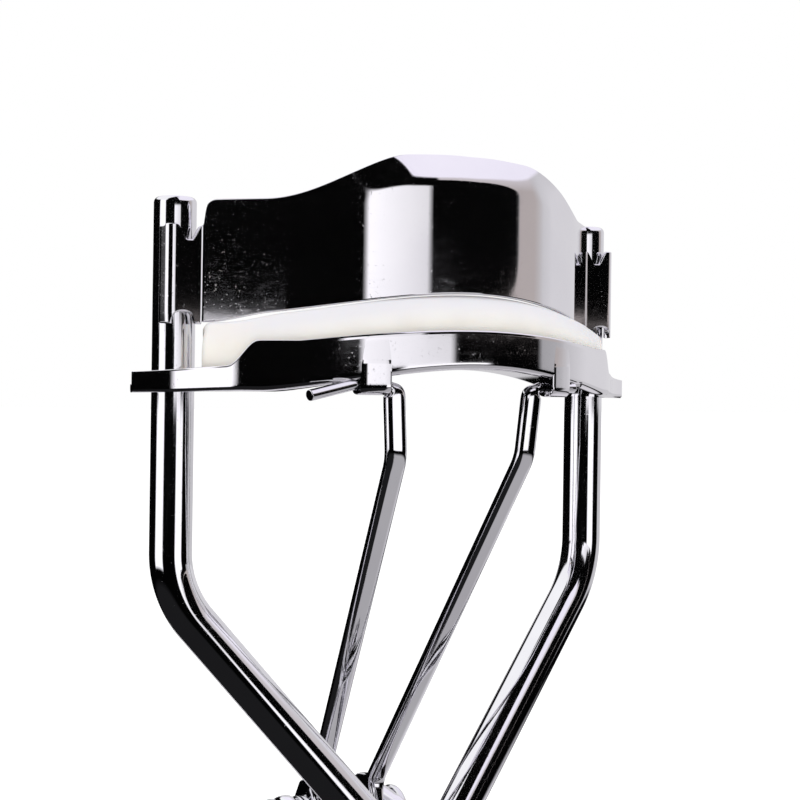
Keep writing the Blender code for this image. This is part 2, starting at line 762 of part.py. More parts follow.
def jaw_rings():
    """Sections of the channel: front wall, floor and back wall, each one sheet thick."""
    rings = []
    for front, back, x in jaw_stations():
        inward = (back - front) * min(SHEET / (back - front).length, 0.42)
        low = floor_under(x)
        high = low + SHEET
        front_top = max(wall_top(x), high + 0.2)
        cut = smooth((abs(x) - BACK_WALL_END) / BACK_WALL_SLOPES_OVER)
        back_top = mix(wall_top(x), high + 0.12, cut)
        ring = [(front, low), (front, front_top), (front + inward, front_top), (front + inward, high)]
        ring += [(back - inward, high), (back - inward, back_top), (back, back_top), (back, low)]
        rings.append([Vector((point.x, point.y, height)) for point, height in ring])
    return rings


def upright_rings(radius, x, reach):
    """Rings of an upright round cutter about a rail's axis."""
    return [
        [
            (x + radius * math.cos(angle), radius * math.sin(angle), height)
            for angle in (math.tau * i / ROUND_SIDES for i in range(ROUND_SIDES))
        ]
        for height in (-reach, reach)
    ]


def lower_jaw():
    """A bent channel for the pad, with an ear round each rail and a rolled lug for each link."""
    made = body("lower_jaw", jaw_rings(), chrome("lower_jaw"))
    for side, label in ((-1, "left"), (1, "right")):
        hole = upright_rings(EAR_HOLE, side * RAIL_X, EAR_CUT_REACH)
        join(made, helper(f"{label}_ear_hole", hole), "DIFFERENCE")
        inner, outer = side * LUG_INNER_X, side * LUG_OUTER_X
        roll = across(LUG_RADIUS, LUG_FORWARD, LUG_HEIGHT, inner, outer)
        join(made, helper(f"{label}_lug", roll), "UNION")
        bore_ends = (side * LUG_BORE_INNER_X, side * LUG_BORE_OUTER_X)
        bore = across(LUG_HOLE, LUG_FORWARD, LUG_HEIGHT, *bore_ends)
        join(made, helper(f"{label}_lug_hole", bore), "DIFFERENCE")
    return made


def silicone_pad():
    """A curved strip with a rounded top, its ends thin where they pass in front of the rails."""
    rings = []
    for x in spread(PAD_END_X, PAD_COLUMNS):
        place, out = jaw_plan(x)
        width = pad_width(x)
        low = max(floor_under(x) + SHEET + GAP, PAD_FOOT)
        high = plate_bottom(x) - PAD_BELOW_PLATE
        soft = PAD_EDGE
        ring = [(0.0, low), (0.0, high - soft), (-0.1, high - soft / 3), (-soft, high)]
        ring += [(soft - width, high), (0.1 - width, high - soft / 3), (-width, high - soft), (-width, low)]
        rings.append([place + out * offset + Vector((0.0, 0.0, height)) for offset, height in ring])
    return body("silicone_pad", rings, material("pad_silicone", (0.84, 0.80, 0.77), 0.0, 0.45))


def main():
    clear_scene()
    frame_wire()
    upper_plate()
    ferrule("frame_ferrule", -1, (0.0, PIVOT_FORWARD, FOOT_HEIGHT))
    pivot_hardware()
    lower_jaw()
    silicone_pad()
    link("left_link", -1, (LEFT_FOOT_BEND, LEFT_FOOT_END))
    link("right_link", 1, (RIGHT_FOOT_END,))
    lever_wire()
    ferrule("lever_ferrule", 1, (0.0, PIVOT_FORWARD, PIVOT_HEIGHT))
    link_hardware()


main()
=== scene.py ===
"""The eyelash curler's looks: fine chromed wire and sheet, a silicone pad, and a plain white studio.

Shapes are worked out in millimetres in the cage's own directions, which the frame places: x to the right
along the jaw, forward from the plane of the rails, and height above the underside of the jaw's ends.
"""

import json
import math

import bpy
import numpy as np
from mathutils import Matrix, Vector

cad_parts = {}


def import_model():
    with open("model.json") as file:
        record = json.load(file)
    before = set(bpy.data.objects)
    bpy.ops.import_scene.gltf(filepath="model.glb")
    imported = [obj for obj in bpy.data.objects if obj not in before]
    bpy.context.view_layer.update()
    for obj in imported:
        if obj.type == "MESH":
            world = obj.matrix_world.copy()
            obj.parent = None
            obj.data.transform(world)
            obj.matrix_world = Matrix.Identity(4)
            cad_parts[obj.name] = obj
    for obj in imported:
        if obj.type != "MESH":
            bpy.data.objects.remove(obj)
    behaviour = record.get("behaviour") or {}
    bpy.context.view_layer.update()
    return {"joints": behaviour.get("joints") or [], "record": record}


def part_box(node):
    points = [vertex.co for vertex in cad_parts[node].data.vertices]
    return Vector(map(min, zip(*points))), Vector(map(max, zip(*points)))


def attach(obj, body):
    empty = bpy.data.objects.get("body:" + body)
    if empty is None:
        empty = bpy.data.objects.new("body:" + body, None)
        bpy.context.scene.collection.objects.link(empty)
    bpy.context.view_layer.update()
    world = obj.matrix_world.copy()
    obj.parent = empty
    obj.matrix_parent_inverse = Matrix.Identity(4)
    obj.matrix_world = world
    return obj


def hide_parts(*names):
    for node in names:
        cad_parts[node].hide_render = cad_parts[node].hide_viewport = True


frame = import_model()

MM = 0.001
GAP = 0.1
MOUNTS = {mount["name"]: Vector(mount["pos_m"]) / MM for mount in frame["record"]["mounts"]}
HINGES = {joint["name"]: Vector(joint["pos_m"]) / MM for joint in frame["joints"] if "pos_m" in joint}

# Where the frame puts the rails, the pivot and the links' upper hinges.
LUG_HEIGHT = 0.25
RAIL_X = MOUNTS["right_rail_top"].x
RAIL_Y = MOUNTS["right_rail_top"].y
ZERO_HEIGHT = HINGES["right_link_hinge"].z - LUG_HEIGHT
RAIL_TOP = MOUNTS["right_rail_top"].z - ZERO_HEIGHT
LUG_FORWARD = RAIL_Y - HINGES["right_link_hinge"].y
PIVOT_FORWARD = RAIL_Y - HINGES["lever_hinge"].y
PIVOT_HEIGHT = HINGES["lever_hinge"].z - ZERO_HEIGHT
WIRE_RADIUS = 1.5


def cage_box(node):
    """A node's corners in the cage's directions, in mm: least and greatest x, forward and height."""
    low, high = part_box(node)
    low, high = low / MM, high / MM
    least = Vector((low.x, RAIL_Y - high.y, low.z - ZERO_HEIGHT))
    most = Vector((high.x, RAIL_Y - low.y, high.z - ZERO_HEIGHT))
    return least, most


SIDES = ((-1, "left"), (1, "right"))

# The finger rings.
STRAND_X = WIRE_RADIUS + 0.15
RING_RADIUS = 11.5
NECK_RADIUS = 5.0
SHANK_BEND_RADIUS = 5.0
SHANK_STRAIGHT_FROM = 7.0
RING_SPREAD = cage_box("lever_wire")[1].y - PIVOT_FORWARD - RING_RADIUS - WIRE_RADIUS
FLOOR_CLEARANCE = 0.015
RING_DROP = PIVOT_HEIGHT + ZERO_HEIGHT - RING_RADIUS - WIRE_RADIUS - FLOOR_CLEARANCE

# The frame's wire.
RAIL_EDGE = 0.4
RAIL_BEND_HEIGHT = -14.5
RAIL_BEND_RADIUS = 7.7
LEG_INWARD = 0.829
LEG_FORWARD = 0.24
CROTCH_BEND_RADIUS = 3.0
FRAME_EYE_HALF = 1.15
PIVOT_EYE_REACH = 2.3

# The lever's wire, and the rivet that carries the links.
LEVER_X = 4.2
LEVER_EYE_HALF = 0.85
LEVER_BEND_RADIUS = 5.0
LEVER_CLOSED_AT = 19.0
LINK_HEAD_RADIUS = 2.1
LINK_PIN_FORWARD = cage_box("link_rivet")[1].y - LINK_HEAD_RADIUS
LINK_PIN_HEIGHT = cage_box("link_rivet")[1].z - LINK_HEAD_RADIUS
LINK_PIN_RADIUS = 1.0
PIVOT_PIN_RADIUS = 1.25
PIVOT_HEAD_RADIUS = 2.6
PIN_CLEARANCE = 0.08
HEAD_THICKNESS = 0.8
HEAD_DOME = 0.55
SPACER_WALL = 0.4
WASHER_GAP = 0.06
WASHER_EDGE = 0.12

# The links.
LINK_X = 2.5
LINK_EYE_HALF = 0.5
LINK_EYE_REACH = 2.2
LINK_EYE_HOLE = 1.45
LINK_SPREADS_FROM = 3.4
STRIP_X = 5.7
STRIP_BEND_X = 5.3
STRIP_BEND_FORWARD = 9.9
STRIP_BEND_HEIGHT = -4.8
STRIP_HALF_WIDTH = 0.78
STRIP_HALF_DEPTH = 0.5
FOOT_PIN_RADIUS = 0.38
RIGHT_FOOT = ((9.3, LUG_FORWARD, LUG_HEIGHT),)
LEFT_FOOT = ((8.9, LUG_FORWARD, LUG_HEIGHT), (12.5, LUG_FORWARD + 0.75, LUG_HEIGHT - 0.75))

# The upper plate and its end tabs. The crown is higher and reaches further out on the left.
SHEET = 0.45
PLATE_ARC_RADIUS = 17.0
PLATE_APEX = cage_box("upper_plate")[1].y
PLATE_ARC_END = 12.2
PLATE_CROWN = cage_box("upper_plate")[1].z
PLATE_SHOULDER = 13.0
PLATE_FOOT = 4.8
PLATE_FOOT_DROP = 0.35
PLATE_FOOT_DROPS_FROM = 13.0
PLATE_FOOT_DROPS_OVER = 3.2
PLATE_ARCH = 1.8
PLATE_ARCH_END = 16.1
LEFT_RISE_FROM = 14.3
LEFT_RISE_OVER = 12.0
RIGHT_RISE_FROM = 13.2
RIGHT_RISE_OVER = 8.3
CROWN_DOME = 0.35
CROWN_DOME_X = 1.2
CROWN_DOME_HALF = 7.5
PLATE_ROLL_HEIGHT = 2.4
PLATE_ROLL_BACK = 0.8
PLATE_ROLL_LEAN = 0.75
PLATE_ROLL_END = 9.5
PLATE_ROLL_FADE = 6.5
PLATE_CORNER_X = 16.25
PLATE_CORNER_RADIUS = 0.55
EDGE_RADIUS = 0.08
EDGE_SUPPORT = 0.006
SHEET_ROWS = 44
TAB_TOP = 11.2
TAB_BOTTOM = 4.3
TAB_NOTCH = 1.05
TAB_NOTCH_ANGLE = 98.0
TAB_NOTCH_HALF = 26.0
TAB_ARCH = 0.85
TAB_ARCH_ANGLE = 86.0
TAB_ARCH_HALF = 24.0
TAB_END_DROP = 0.15
TAB_END_CUT = 0.1
TAB_FORWARD = 2.07
TAB_TILT = math.radians(5.0)
TAB_BEND_X = 18.85
TAB_TIP = (19.25, 1.25)
VALLEY_RADIUS = 0.3
TAB_BEND_RADIUS = 0.7

# The lower jaw.
JAW_ARC_RADIUS = 21.5
JAW_APEX = 12.0
PAD_WIDTH = 3.0
PAD_END_X = 17.2
PAD_END_WIDTH = 1.25
PAD_NARROWS_FROM = 12.5
PAD_NARROWS_OVER = 3.4
PAD_ENDS_ROUND = 0.45
PAD_SOFT_DEPTH = 0.75
PAD_SOFT_HEIGHT = 1.35
CHANNEL_END = 15.7
FLOOR_ARCH_END = 14.0
FLOOR_END_HEIGHT = -0.3
FLOOR_TIP_HEIGHT = -0.5
FLOOR_ARCH = 1.7
WALL_TOP = 3.2
WALL_ARCH = 0.9
WALL_ARCH_END = 12.0
WALL_END = 14.2
WALL_SLOPES_OVER = 1.5
BACK_WALL_END = 11.5
BACK_WALL_SLOPES_OVER = 1.6
EAR_TIP_X = cage_box("lower_jaw")[1].x
EAR_TIP_FORWARD = 0.8
EAR_RADIUS = 2.6
EAR_HOLE = WIRE_RADIUS + 0.25
EAR_FRONT_TOP = 1.45
EAR_TIP_TOP = 0.95
EAR_CUT_REACH = 3.0
EAR_BACK_FROM = math.radians(210.0)
EAR_BACK_TO = math.radians(338.0)
EAR_ROUNDS_FROM = 0.35
EAR_ROUNDS_TO = 0.9
JAW_BEND = 0.95
JAW_RIM = 0.14
JAW_INSIDE = 0.12
LUG_INNER_X = 6.6
LUG_OUTER_X = 8.6
LUG_RADIUS = 0.68
LUG_BACK = 9.5
LUG_HOLE = 0.45
LUG_BORE_INNER_X = LUG_INNER_X - 2.0
LUG_BORE_OUTER_X = 10.3
LUG_STRIP_TOP = 2.3
LUG_STANDS_OUT = 0.015
# The lug's sections: how far along it, and how much each shrinks to round its ends.
LUG_SECTIONS = (
    (0.0, 0.06),
    (0.03, 0.02),
    (0.07, 0.0),
    (0.25, 0.0),
    (0.5, 0.0),
    (0.75, 0.0),
    (0.93, 0.0),
    (0.97, 0.02),
    (1.0, 0.06),
)

FERRULE_WALL = 0.6
FERRULE_EDGE = 0.25
FERRULE_LENGTH = 4.0
FERRULE_ABOVE_RING = 19.5


# ---- Numbers and directions ----

def smooth(t):
    t = min(max(t, 0.0), 1.0)
    return t * t * (3.0 - 2.0 * t)


def mix(a, b, t):
    return a + (b - a) * t


def world(points):
    """Points of the cage, in mm, as rows of Blender's metres."""
    rows = np.asarray([tuple(point) for point in points], float)
    return np.column_stack((rows[:, 0], RAIL_Y - rows[:, 1], rows[:, 2] + ZERO_HEIGHT)) * MM


# ---- Meshes ----

def shade(obj, angle=38.0):
    obj.data.shade_smooth()
    obj.data.set_sharp_from_angle(angle=math.radians(angle))


def mesh_object(name, points, faces):
    """An object with its faces turned outwards, whatever way round its rings were given."""
    rows = world(points)
    total = 0.0
    for face in faces:
        first = rows[face[0]]
        for i in range(1, len(face) - 1):
            total += np.dot(first, np.cross(rows[face[i]], rows[face[i + 1]]))
    if total < 0.0:
        faces = [tuple(reversed(face)) for face in faces]
    mesh = bpy.data.meshes.new(name)
    mesh.from_pydata(rows.tolist(), [], faces)
    mesh.validate()
    made = bpy.data.objects.new(name, mesh)
    bpy.context.scene.collection.objects.link(made)
    shade(made)
    return made


def loft(name, rings, closed=False):
    """A body through rings of equally many points, capped unless it closes on itself."""
    size = len(rings[0])
    points = [point for ring in rings for point in ring]
    faces = []
    for i in range(len(rings) if closed else len(rings) - 1):
        here = i * size
        there = (i + 1) % len(rings) * size
        for j in range(size):
            k = (j + 1) % size
            faces.append((here + j, here + k, there + k, there + j))
    if not closed:
        faces.append(tuple(reversed(range(size))))
        faces.append(tuple(range(len(points) - size, len(points))))
    return mesh_object(name, points, faces)


def carve(target, tool, operation="DIFFERENCE"):
    """Cuts the tool out of the target, or adds it, and keeps one finished mesh."""
    step = target.modifiers.new("shape", "BOOLEAN")
    step.operation = operation
    step.solver = "EXACT"
    step.object = tool
    bpy.context.view_layer.update()
    graph = bpy.context.evaluated_depsgraph_get()
    finished = bpy.data.meshes.new_from_object(target.evaluated_get(graph))
    target.modifiers.clear()
    target.data = finished
    bpy.data.objects.remove(tool, do_unlink=True)
    shade(target)


def disc_rings(x_radii, forward, height, sides):
    """Rings of a turned body about an axis along x, from pairs of x and radius."""
    return [
        [
            (x, forward + radius * math.cos(angle), height + radius * math.sin(angle))
            for angle in (math.tau * i / sides for i in range(sides))
        ]
        for x, radius in x_radii
    ]


def pierce(target, radius, forward, height, x_from, x_to):
    ends = [(x_from, radius), (x_to, radius)]
    carve(target, loft("drill", disc_rings(ends, forward, height, 64)))


# ---- Paths and sweeps ----

def bent_path(corners, radii, straight_step=0.6, bend_step=0.22):
    """Stations of a wire with rounded corners, each a point and an exact direction."""
    corners = [Vector(corner) for corner in corners]
    stations = []
    start = corners[0]
    for before, corner, after, radius in zip(corners, corners[1:], corners[2:], radii):
        back = (before - corner).normalized()
        ahead = (after - corner).normalized()
        half = back.angle(ahead) / 2.0
        middle = corner + (back + ahead).normalized() * (radius / math.sin(half))
        first = corner + back * (radius / math.tan(half))
        last = corner + ahead * (radius / math.tan(half))
        stations += straight(start, first, straight_step)
        turn = math.pi - 2.0 * half
        steps = max(6, math.ceil(radius * turn / bend_step))
        across = (first - middle).normalized()
        for i in range(1, steps):
            angle = turn * i / steps
            point = middle + (across * math.cos(angle) - back * math.sin(angle)) * radius
            stations.append((point, -(across * math.sin(angle) + back * math.cos(angle))))
        start = last
    return stations + straight(start, corners[-1], straight_step, keep_end=True)


def straight(start, end, step, keep_end=False):
    length = (end - start).length
    heading = (end - start).normalized()
    count = max(1, math.ceil(length / step))
    stops = range(count + 1) if keep_end else range(count)
    stations = [(start.lerp(end, i / count), heading) for i in stops]
    return stations + ([] if keep_end else [(end, heading)])


def through(points):
    """Stations of a smooth run of points, with the direction between each point's neighbours."""
    headings = []
    for i in range(len(points)):
        before, after = points[max(i - 1, 0)], points[min(i + 1, len(points) - 1)]
        headings.append((after - before).normalized())
    return list(zip(points, headings))


def mirrored(stations):
    return [(Vector((-p.x, p.y, p.z)), Vector((-d.x, d.y, d.z))) for p, d in stations]


def turned_round(stations):
    return [(p, -d) for p, d in reversed(stations)]


def with_stops(stations, centre, reach, count):
    """Adds stations within reach of a point, so that a change of section there is smooth."""
    made = []
    for (point, heading), (after, _) in zip(stations, stations[1:] + stations[-1:]):
        made.append((point, heading))
        gap = (after - point).length
        extra = 0
        if min((point - centre).length, (after - centre).length) < reach:
            extra = int(gap * count / reach)
        made += [(point.lerp(after, (i + 1) / (extra + 1)), heading) for i in range(extra)]
    return made


def superellipse(angle, power):
    """A round outline for power 2, and one with flat sides and rounded corners above that."""
    c, s = math.cos(angle), math.sin(angle)
    size = (abs(c) ** power + abs(s) ** power) ** (-1.0 / power)
    return c * size, s * size


def swept(stations, section, sides, follow=False):
    """Rings along a path. section(point) gives two half-widths, the first nearest x, and the power."""
    rings = []
    side = Vector((1.0, 0.0, 0.0))
    for point, ahead in stations:
        if not follow:
            side = Vector((1.0, 0.0, 0.0))
        side = (side - ahead * side.dot(ahead)).normalized()
        other = ahead.cross(side)
        first, second, power = section(point)
        ring = []
        for i in range(sides):
            c, s = superellipse(math.tau * (i + 0.5) / sides, power)
            ring.append(point + side * (first * c) + other * (second * s))
        rings.append(ring)
    return rings


def rounded_end(ring, heading, edge, steps=5):
    """Rings that close an end with a rounded edge and a flat middle, outermost last."""
    centre = sum((Vector(point) for point in ring), Vector()) / len(ring)
    reach = max((Vector(point) - centre).length for point in ring)
    rings = []
    for i in range(1, steps + 1):
        angle = math.pi / 2 * i / steps
        scale = 1.0 - edge * (1.0 - math.cos(angle)) / reach
        lift = heading * (edge * math.sin(angle))
        rings.append([centre + (Vector(point) - centre) * scale + lift for point in ring])
    for share in (0.6, 0.25):
        scale = share * (1.0 - edge / reach)
        rings.append([centre + (Vector(point) - centre) * scale + lift for point in ring])
    return rings


def wire(name, stations, section, sides, edge, follow=False):
    """A swept body with rounded ends. The path stops short of both ends by the edge's radius."""
    rings = swept(stations, section, sides, follow)
    first = rounded_end(rings[0], -stations[0][1], edge)
    last = rounded_end(rings[-1], stations[-1][1], edge)
    return loft(name, list(reversed(first)) + rings + last)


# ---- Frame and lever ----

def ring_centre(sign):
    return PIVOT_FORWARD + sign * RING_SPREAD, PIVOT_HEIGHT - RING_DROP


def shank_axes(sign):
    """Unit directions from the ring's centre up the shank, and across it, as (forward, height)."""
    length = math.hypot(RING_SPREAD, RING_DROP)
    up = Vector((-sign * RING_SPREAD / length, RING_DROP / length))
    return up, Vector((up.y, -up.x))


def shank_point(sign, x, above_ring):
    forward, height = ring_centre(sign)
    up, _ = shank_axes(sign)
    return Vector((x, forward + up.x * above_ring, height + up.y * above_ring))


def neck_height():
    return math.sqrt((RING_RADIUS + NECK_RADIUS) ** 2 - NECK_RADIUS ** 2)


def ring_loop(sign, arc_steps=220, neck_steps=24):
    """The finger ring, from the left strand's neck round to the right strand's."""
    forward, height = ring_centre(sign)
    up, side = shank_axes(sign)
    neck = neck_height()
    opening = math.asin(NECK_RADIUS / (RING_RADIUS + NECK_RADIUS))
    flat = []
    for i in range(neck_steps):
        turn = (math.pi / 2.0 - opening) * i / neck_steps
        flat.append((NECK_RADIUS * (1.0 - math.cos(turn)), neck - NECK_RADIUS * math.sin(turn)))
    arc = []
    for i in range(arc_steps + 1):
        angle = opening + (math.tau - 2.0 * opening) * i / arc_steps
        arc.append((RING_RADIUS * math.sin(angle), RING_RADIUS * math.cos(angle)))
    profile = flat + arc + [(-a, b) for a, b in reversed(flat)]
    points = []
    for i, (a, b) in enumerate(profile):
        x = mix(-STRAND_X, STRAND_X, smooth(i / (len(profile) - 1)))
        points.append(Vector((x, forward + side.x * a + up.x * b, height + side.y * a + up.y * b)))
    return through(points)


def whole_wire(half, sign):
    """Both sides of a wire and its ring. half runs down the right side from its end to the ring's neck."""
    return mirrored(half)[:-1] + ring_loop(sign) + turned_round(half)[1:]


def pivot_point(x):
    return Vector((x, PIVOT_FORWARD, PIVOT_HEIGHT))


def pressed(half_x, half_across, distance, reach):
    """Half-widths of a round wire that is pressed flat within reach of a rivet."""
    t = smooth((distance - reach) / reach)
    return mix(half_x, WIRE_RADIUS, t), mix(half_across, WIRE_RADIUS, t), mix(3.4, 2.0, t)


def corner_round_pivot(pivot, before, after, radius):
    """Where two straight runs have to meet for their rounded bend to pass through the pivot's axis."""
    turn = before.angle(after)
    return pivot + (before - after).normalized() * radius * (1.0 / math.cos(turn / 2.0) - 1.0)


def frame_half():
    leg = (RAIL_X - STRAND_X) / LEG_INWARD
    crotch = Vector((STRAND_X, LEG_FORWARD * leg, RAIL_BEND_HEIGHT - leg))
    pivot = pivot_point(STRAND_X)
    before = (pivot - crotch).normalized()
    after = (shank_point(-1, STRAND_X, 0.0) - pivot).normalized()
    corners = [
        (RAIL_X, 0.0, RAIL_TOP - RAIL_EDGE),
        (RAIL_X, 0.0, RAIL_BEND_HEIGHT),
        crotch,
        corner_round_pivot(pivot, before, after, SHANK_BEND_RADIUS),
        shank_point(-1, STRAND_X, math.hypot(RING_SPREAD, RING_DROP) - SHANK_STRAIGHT_FROM),
        shank_point(-1, STRAND_X, neck_height()),
    ]
    radii = (RAIL_BEND_RADIUS, CROTCH_BEND_RADIUS, SHANK_BEND_RADIUS, 2 * SHANK_BEND_RADIUS)
    return with_stops(bent_path(corners, radii), pivot_point(STRAND_X), 3.0 * PIVOT_EYE_REACH, 24)


def frame_section(point):
    distance = (point - pivot_point(math.copysign(STRAND_X, point.x))).length
    return pressed(FRAME_EYE_HALF, PIVOT_EYE_REACH, distance, PIVOT_EYE_REACH)


def frame_wire():
    made = wire("chromed_frame_wire", whole_wire(frame_half(), -1), frame_section, 48, RAIL_EDGE)
    hole = PIVOT_PIN_RADIUS + PIN_CLEARANCE
    pierce(made, hole, PIVOT_FORWARD, PIVOT_HEIGHT, -RAIL_X / 2, RAIL_X / 2)
    return made


def lever_half():
    start = Vector((LEVER_X, LINK_PIN_FORWARD, LINK_PIN_HEIGHT))
    pivot = pivot_point(LEVER_X)
    arm = (pivot - start).normalized()
    shank = math.hypot(RING_SPREAD, RING_DROP)
    down = (shank_point(1, LEVER_X, 0.0) - pivot).normalized()
    corners = [
        start,
        corner_round_pivot(pivot, arm, down, LEVER_BEND_RADIUS),
        shank_point(1, LEVER_X, shank - SHANK_STRAIGHT_FROM),
        shank_point(1, STRAND_X, shank - LEVER_CLOSED_AT),
        shank_point(1, STRAND_X, neck_height()),
    ]
    path = bent_path(corners, (LEVER_BEND_RADIUS, 2 * LEVER_BEND_RADIUS, 2 * LEVER_BEND_RADIUS))
    path = rounded_start(path, LINK_HEAD_RADIUS + 0.1) + path
    path = with_stops(path, start, 3.0 * LINK_HEAD_RADIUS, 24)
    return with_stops(path, pivot, 3.0 * PIVOT_EYE_REACH, 24)


def rounded_start(path, reach, steps=14):
    """Stations beyond a path's first point, closer together towards the tip of a round eye."""
    point, heading = path[0]
    spots = [reach * math.cos(math.pi / 2 * (i + 0.6) / steps) for i in range(steps)]
    return [(point - heading * spot, heading) for spot in spots]


def lever_section(point):
    """Flat and rounded at the upper end, flat again at the pivot, and round elsewhere."""
    x = math.copysign(LEVER_X, point.x)
    to_end = (point - Vector((x, LINK_PIN_FORWARD, LINK_PIN_HEIGHT))).length
    reach = LINK_HEAD_RADIUS + 0.15
    if to_end < reach and point.y < LINK_PIN_FORWARD:
        return LEVER_EYE_HALF, math.sqrt(reach ** 2 - to_end ** 2), 3.4
    if to_end < 3.0 * reach:
        return pressed(LEVER_EYE_HALF, reach, to_end, reach)
    return pressed(LEVER_EYE_HALF, PIVOT_EYE_REACH, (point - pivot_point(x)).length, PIVOT_EYE_REACH)


def lever_wire():
    made = wire("chromed_lever_wire", whole_wire(lever_half(), 1), lever_section, 48, 0.05)
    reach = 2 * LEVER_X
    pierce(made, PIVOT_PIN_RADIUS + PIN_CLEARANCE, PIVOT_FORWARD, PIVOT_HEIGHT, -reach, reach)
    pierce(made, LINK_PIN_RADIUS + PIN_CLEARANCE, LINK_PIN_FORWARD, LINK_PIN_HEIGHT, -reach, reach)
    return made


def rimmed(low, high, inner, outer, edge, steps):
    """A ring's profile of (along, radius), from its bore out round two rounded rims and back."""
    profile = [(low, inner)]
    for middle, first in ((low + edge, -90.0), (high - edge, 0.0)):
        for i in range(steps + 1):
            angle = math.radians(mix(first, first + 90.0, i / steps))
            profile.append((middle + edge * math.sin(angle), outer - edge + edge * math.cos(angle)))
    return profile + [(high, inner)]


def ferrule(name, sign):
    """The oval sleeve that holds the two strands together above a finger ring."""
    _, side = shank_axes(sign)
    inner = WIRE_RADIUS + GAP
    half = FERRULE_LENGTH / 2.0
    rings = []
    for along, radius in rimmed(-half, half, inner, inner + FERRULE_WALL, FERRULE_EDGE, 6):
        centre = shank_point(sign, 0.0, FERRULE_ABOVE_RING + along)
        ring = []
        for i in range(72):
            angle = math.tau * (i + 0.5) / 72
            x = math.copysign(STRAND_X, math.cos(angle)) + radius * math.cos(angle)
            across = radius * math.sin(angle)
            ring.append(centre + Vector((x, side.x * across, side.y * across)))
        rings.append(ring)
    return loft(name, rings, closed=True)


# ---- Rivets and washers ----

def rivet(name, radius, head_radius, forward, height):
    """A shank with a domed head at each end, each head flat in the middle."""
    inner_x = LEVER_X + LEVER_EYE_HALF + GAP
    right = [(0.0, radius), (inner_x - 0.02, radius), (inner_x, radius + 0.02)]
    right += [(inner_x, head_radius - 0.1), (inner_x + 0.1, head_radius)]
    for i in range(1, 11):
        angle = math.pi / 2 * i / 10
        x = inner_x + HEAD_THICKNESS - HEAD_DOME * (1.0 - math.sin(angle))
        right.append((x, head_radius - HEAD_DOME * 1.3 * (1.0 - math.cos(angle))))
    right += [(inner_x + HEAD_THICKNESS, share * head_radius) for share in (0.4, 0.15)]
    profile = [(-x, r) for x, r in reversed(right[1:])] + right
    return loft(name, disc_rings(profile, forward, height, 72))


def washer(name, hole, radius, x_from, x_to, forward, height):
    """A flat ring with rounded rims."""
    edge = min(WASHER_EDGE, (x_to - x_from) / 2.5)
    profile = rimmed(x_from, x_to, hole, radius, edge, 4)
    return loft(name, disc_rings(profile, forward, height, 72), closed=True)


# ---- Links ----

def link_section(point):
    """A round foot pin, a flat strip, and a flat round eye at the lower end."""
    eye = Vector((math.copysign(LINK_X, point.x), LINK_PIN_FORWARD, LINK_PIN_HEIGHT))
    distance = (point - eye).length
    if distance < LINK_EYE_REACH and point.z < LINK_PIN_HEIGHT:
        return LINK_EYE_HALF, math.sqrt(max(LINK_EYE_REACH ** 2 - distance ** 2, 0.02)), 4.0
    if distance < 3.0 * LINK_EYE_REACH:
        t = smooth((distance - LINK_EYE_REACH) / LINK_EYE_REACH)
        width = mix(LINK_EYE_HALF, STRIP_HALF_WIDTH, t)
        return width, mix(LINK_EYE_REACH, STRIP_HALF_DEPTH, t), mix(4.0, 2.8, t)
    t = smooth((abs(point.x) - STRIP_X + 0.1) / 0.5)
    width = mix(STRIP_HALF_WIDTH, FOOT_PIN_RADIUS, t)
    return width, mix(STRIP_HALF_DEPTH, FOOT_PIN_RADIUS, t), mix(2.8, 2.0, t)


def link(name, side, foot):
    """From the lower eye up the strip and out along the foot pin."""
    eye = Vector((LINK_X, LINK_PIN_FORWARD, LINK_PIN_HEIGHT))
    bend = Vector((STRIP_BEND_X, STRIP_BEND_FORWARD, STRIP_BEND_HEIGHT))
    up = Vector((0.0, bend.y - eye.y, bend.z - eye.z)).normalized()
    corners = [eye, eye + up * LINK_SPREADS_FROM, bend, (STRIP_X, LUG_FORWARD, LUG_HEIGHT), *foot]
    path = bent_path(corners, (6.0, 3.0, 0.85, 1.5), straight_step=0.3, bend_step=0.08)
    path = rounded_start(path, LINK_EYE_REACH - 0.05) + path
    if side < 0:
        path = mirrored(path)
    made = wire(name, path, link_section, 40, 0.06, follow=True)
    pierce(made, LINK_EYE_HOLE, LINK_PIN_FORWARD, LINK_PIN_HEIGHT, -STRIP_X, STRIP_X)
    return made


# ---- Upper plate ----

def plate_bottom(x):
    arch = PLATE_ARCH * math.cos(math.pi / 2 * min(abs(x) / PLATE_ARCH_END, 1.0)) ** 1.4
    drop = PLATE_FOOT_DROP * smooth((abs(x) - PLATE_FOOT_DROPS_FROM) / PLATE_FOOT_DROPS_OVER)
    return PLATE_FOOT + arch - drop


def plate_top(x):
    """Flat shoulders that rise to a crown in the middle, and a rounded corner at each end."""
    if x > 0.0:
        rise = smooth((RIGHT_RISE_FROM - x) / RIGHT_RISE_OVER)
    else:
        rise = smooth((LEFT_RISE_FROM + x) / LEFT_RISE_OVER)
    dome = CROWN_DOME * (1.0 - min(abs(x - CROWN_DOME_X) / CROWN_DOME_HALF, 1.0) ** 2) ** 2
    top = mix(PLATE_SHOULDER, PLATE_CROWN - CROWN_DOME, rise) + dome
    over = (abs(x) - PLATE_CORNER_X + PLATE_CORNER_RADIUS) / PLATE_CORNER_RADIUS
    if over <= 0.0:
        return top
    corner = top - PLATE_CORNER_RADIUS * (1.0 - math.sqrt(max(1.0 - over * over, 0.0)))
    return corner if over < 1.0 else mix(corner, TAB_TOP, smooth((over - 1.0) * 3.0))


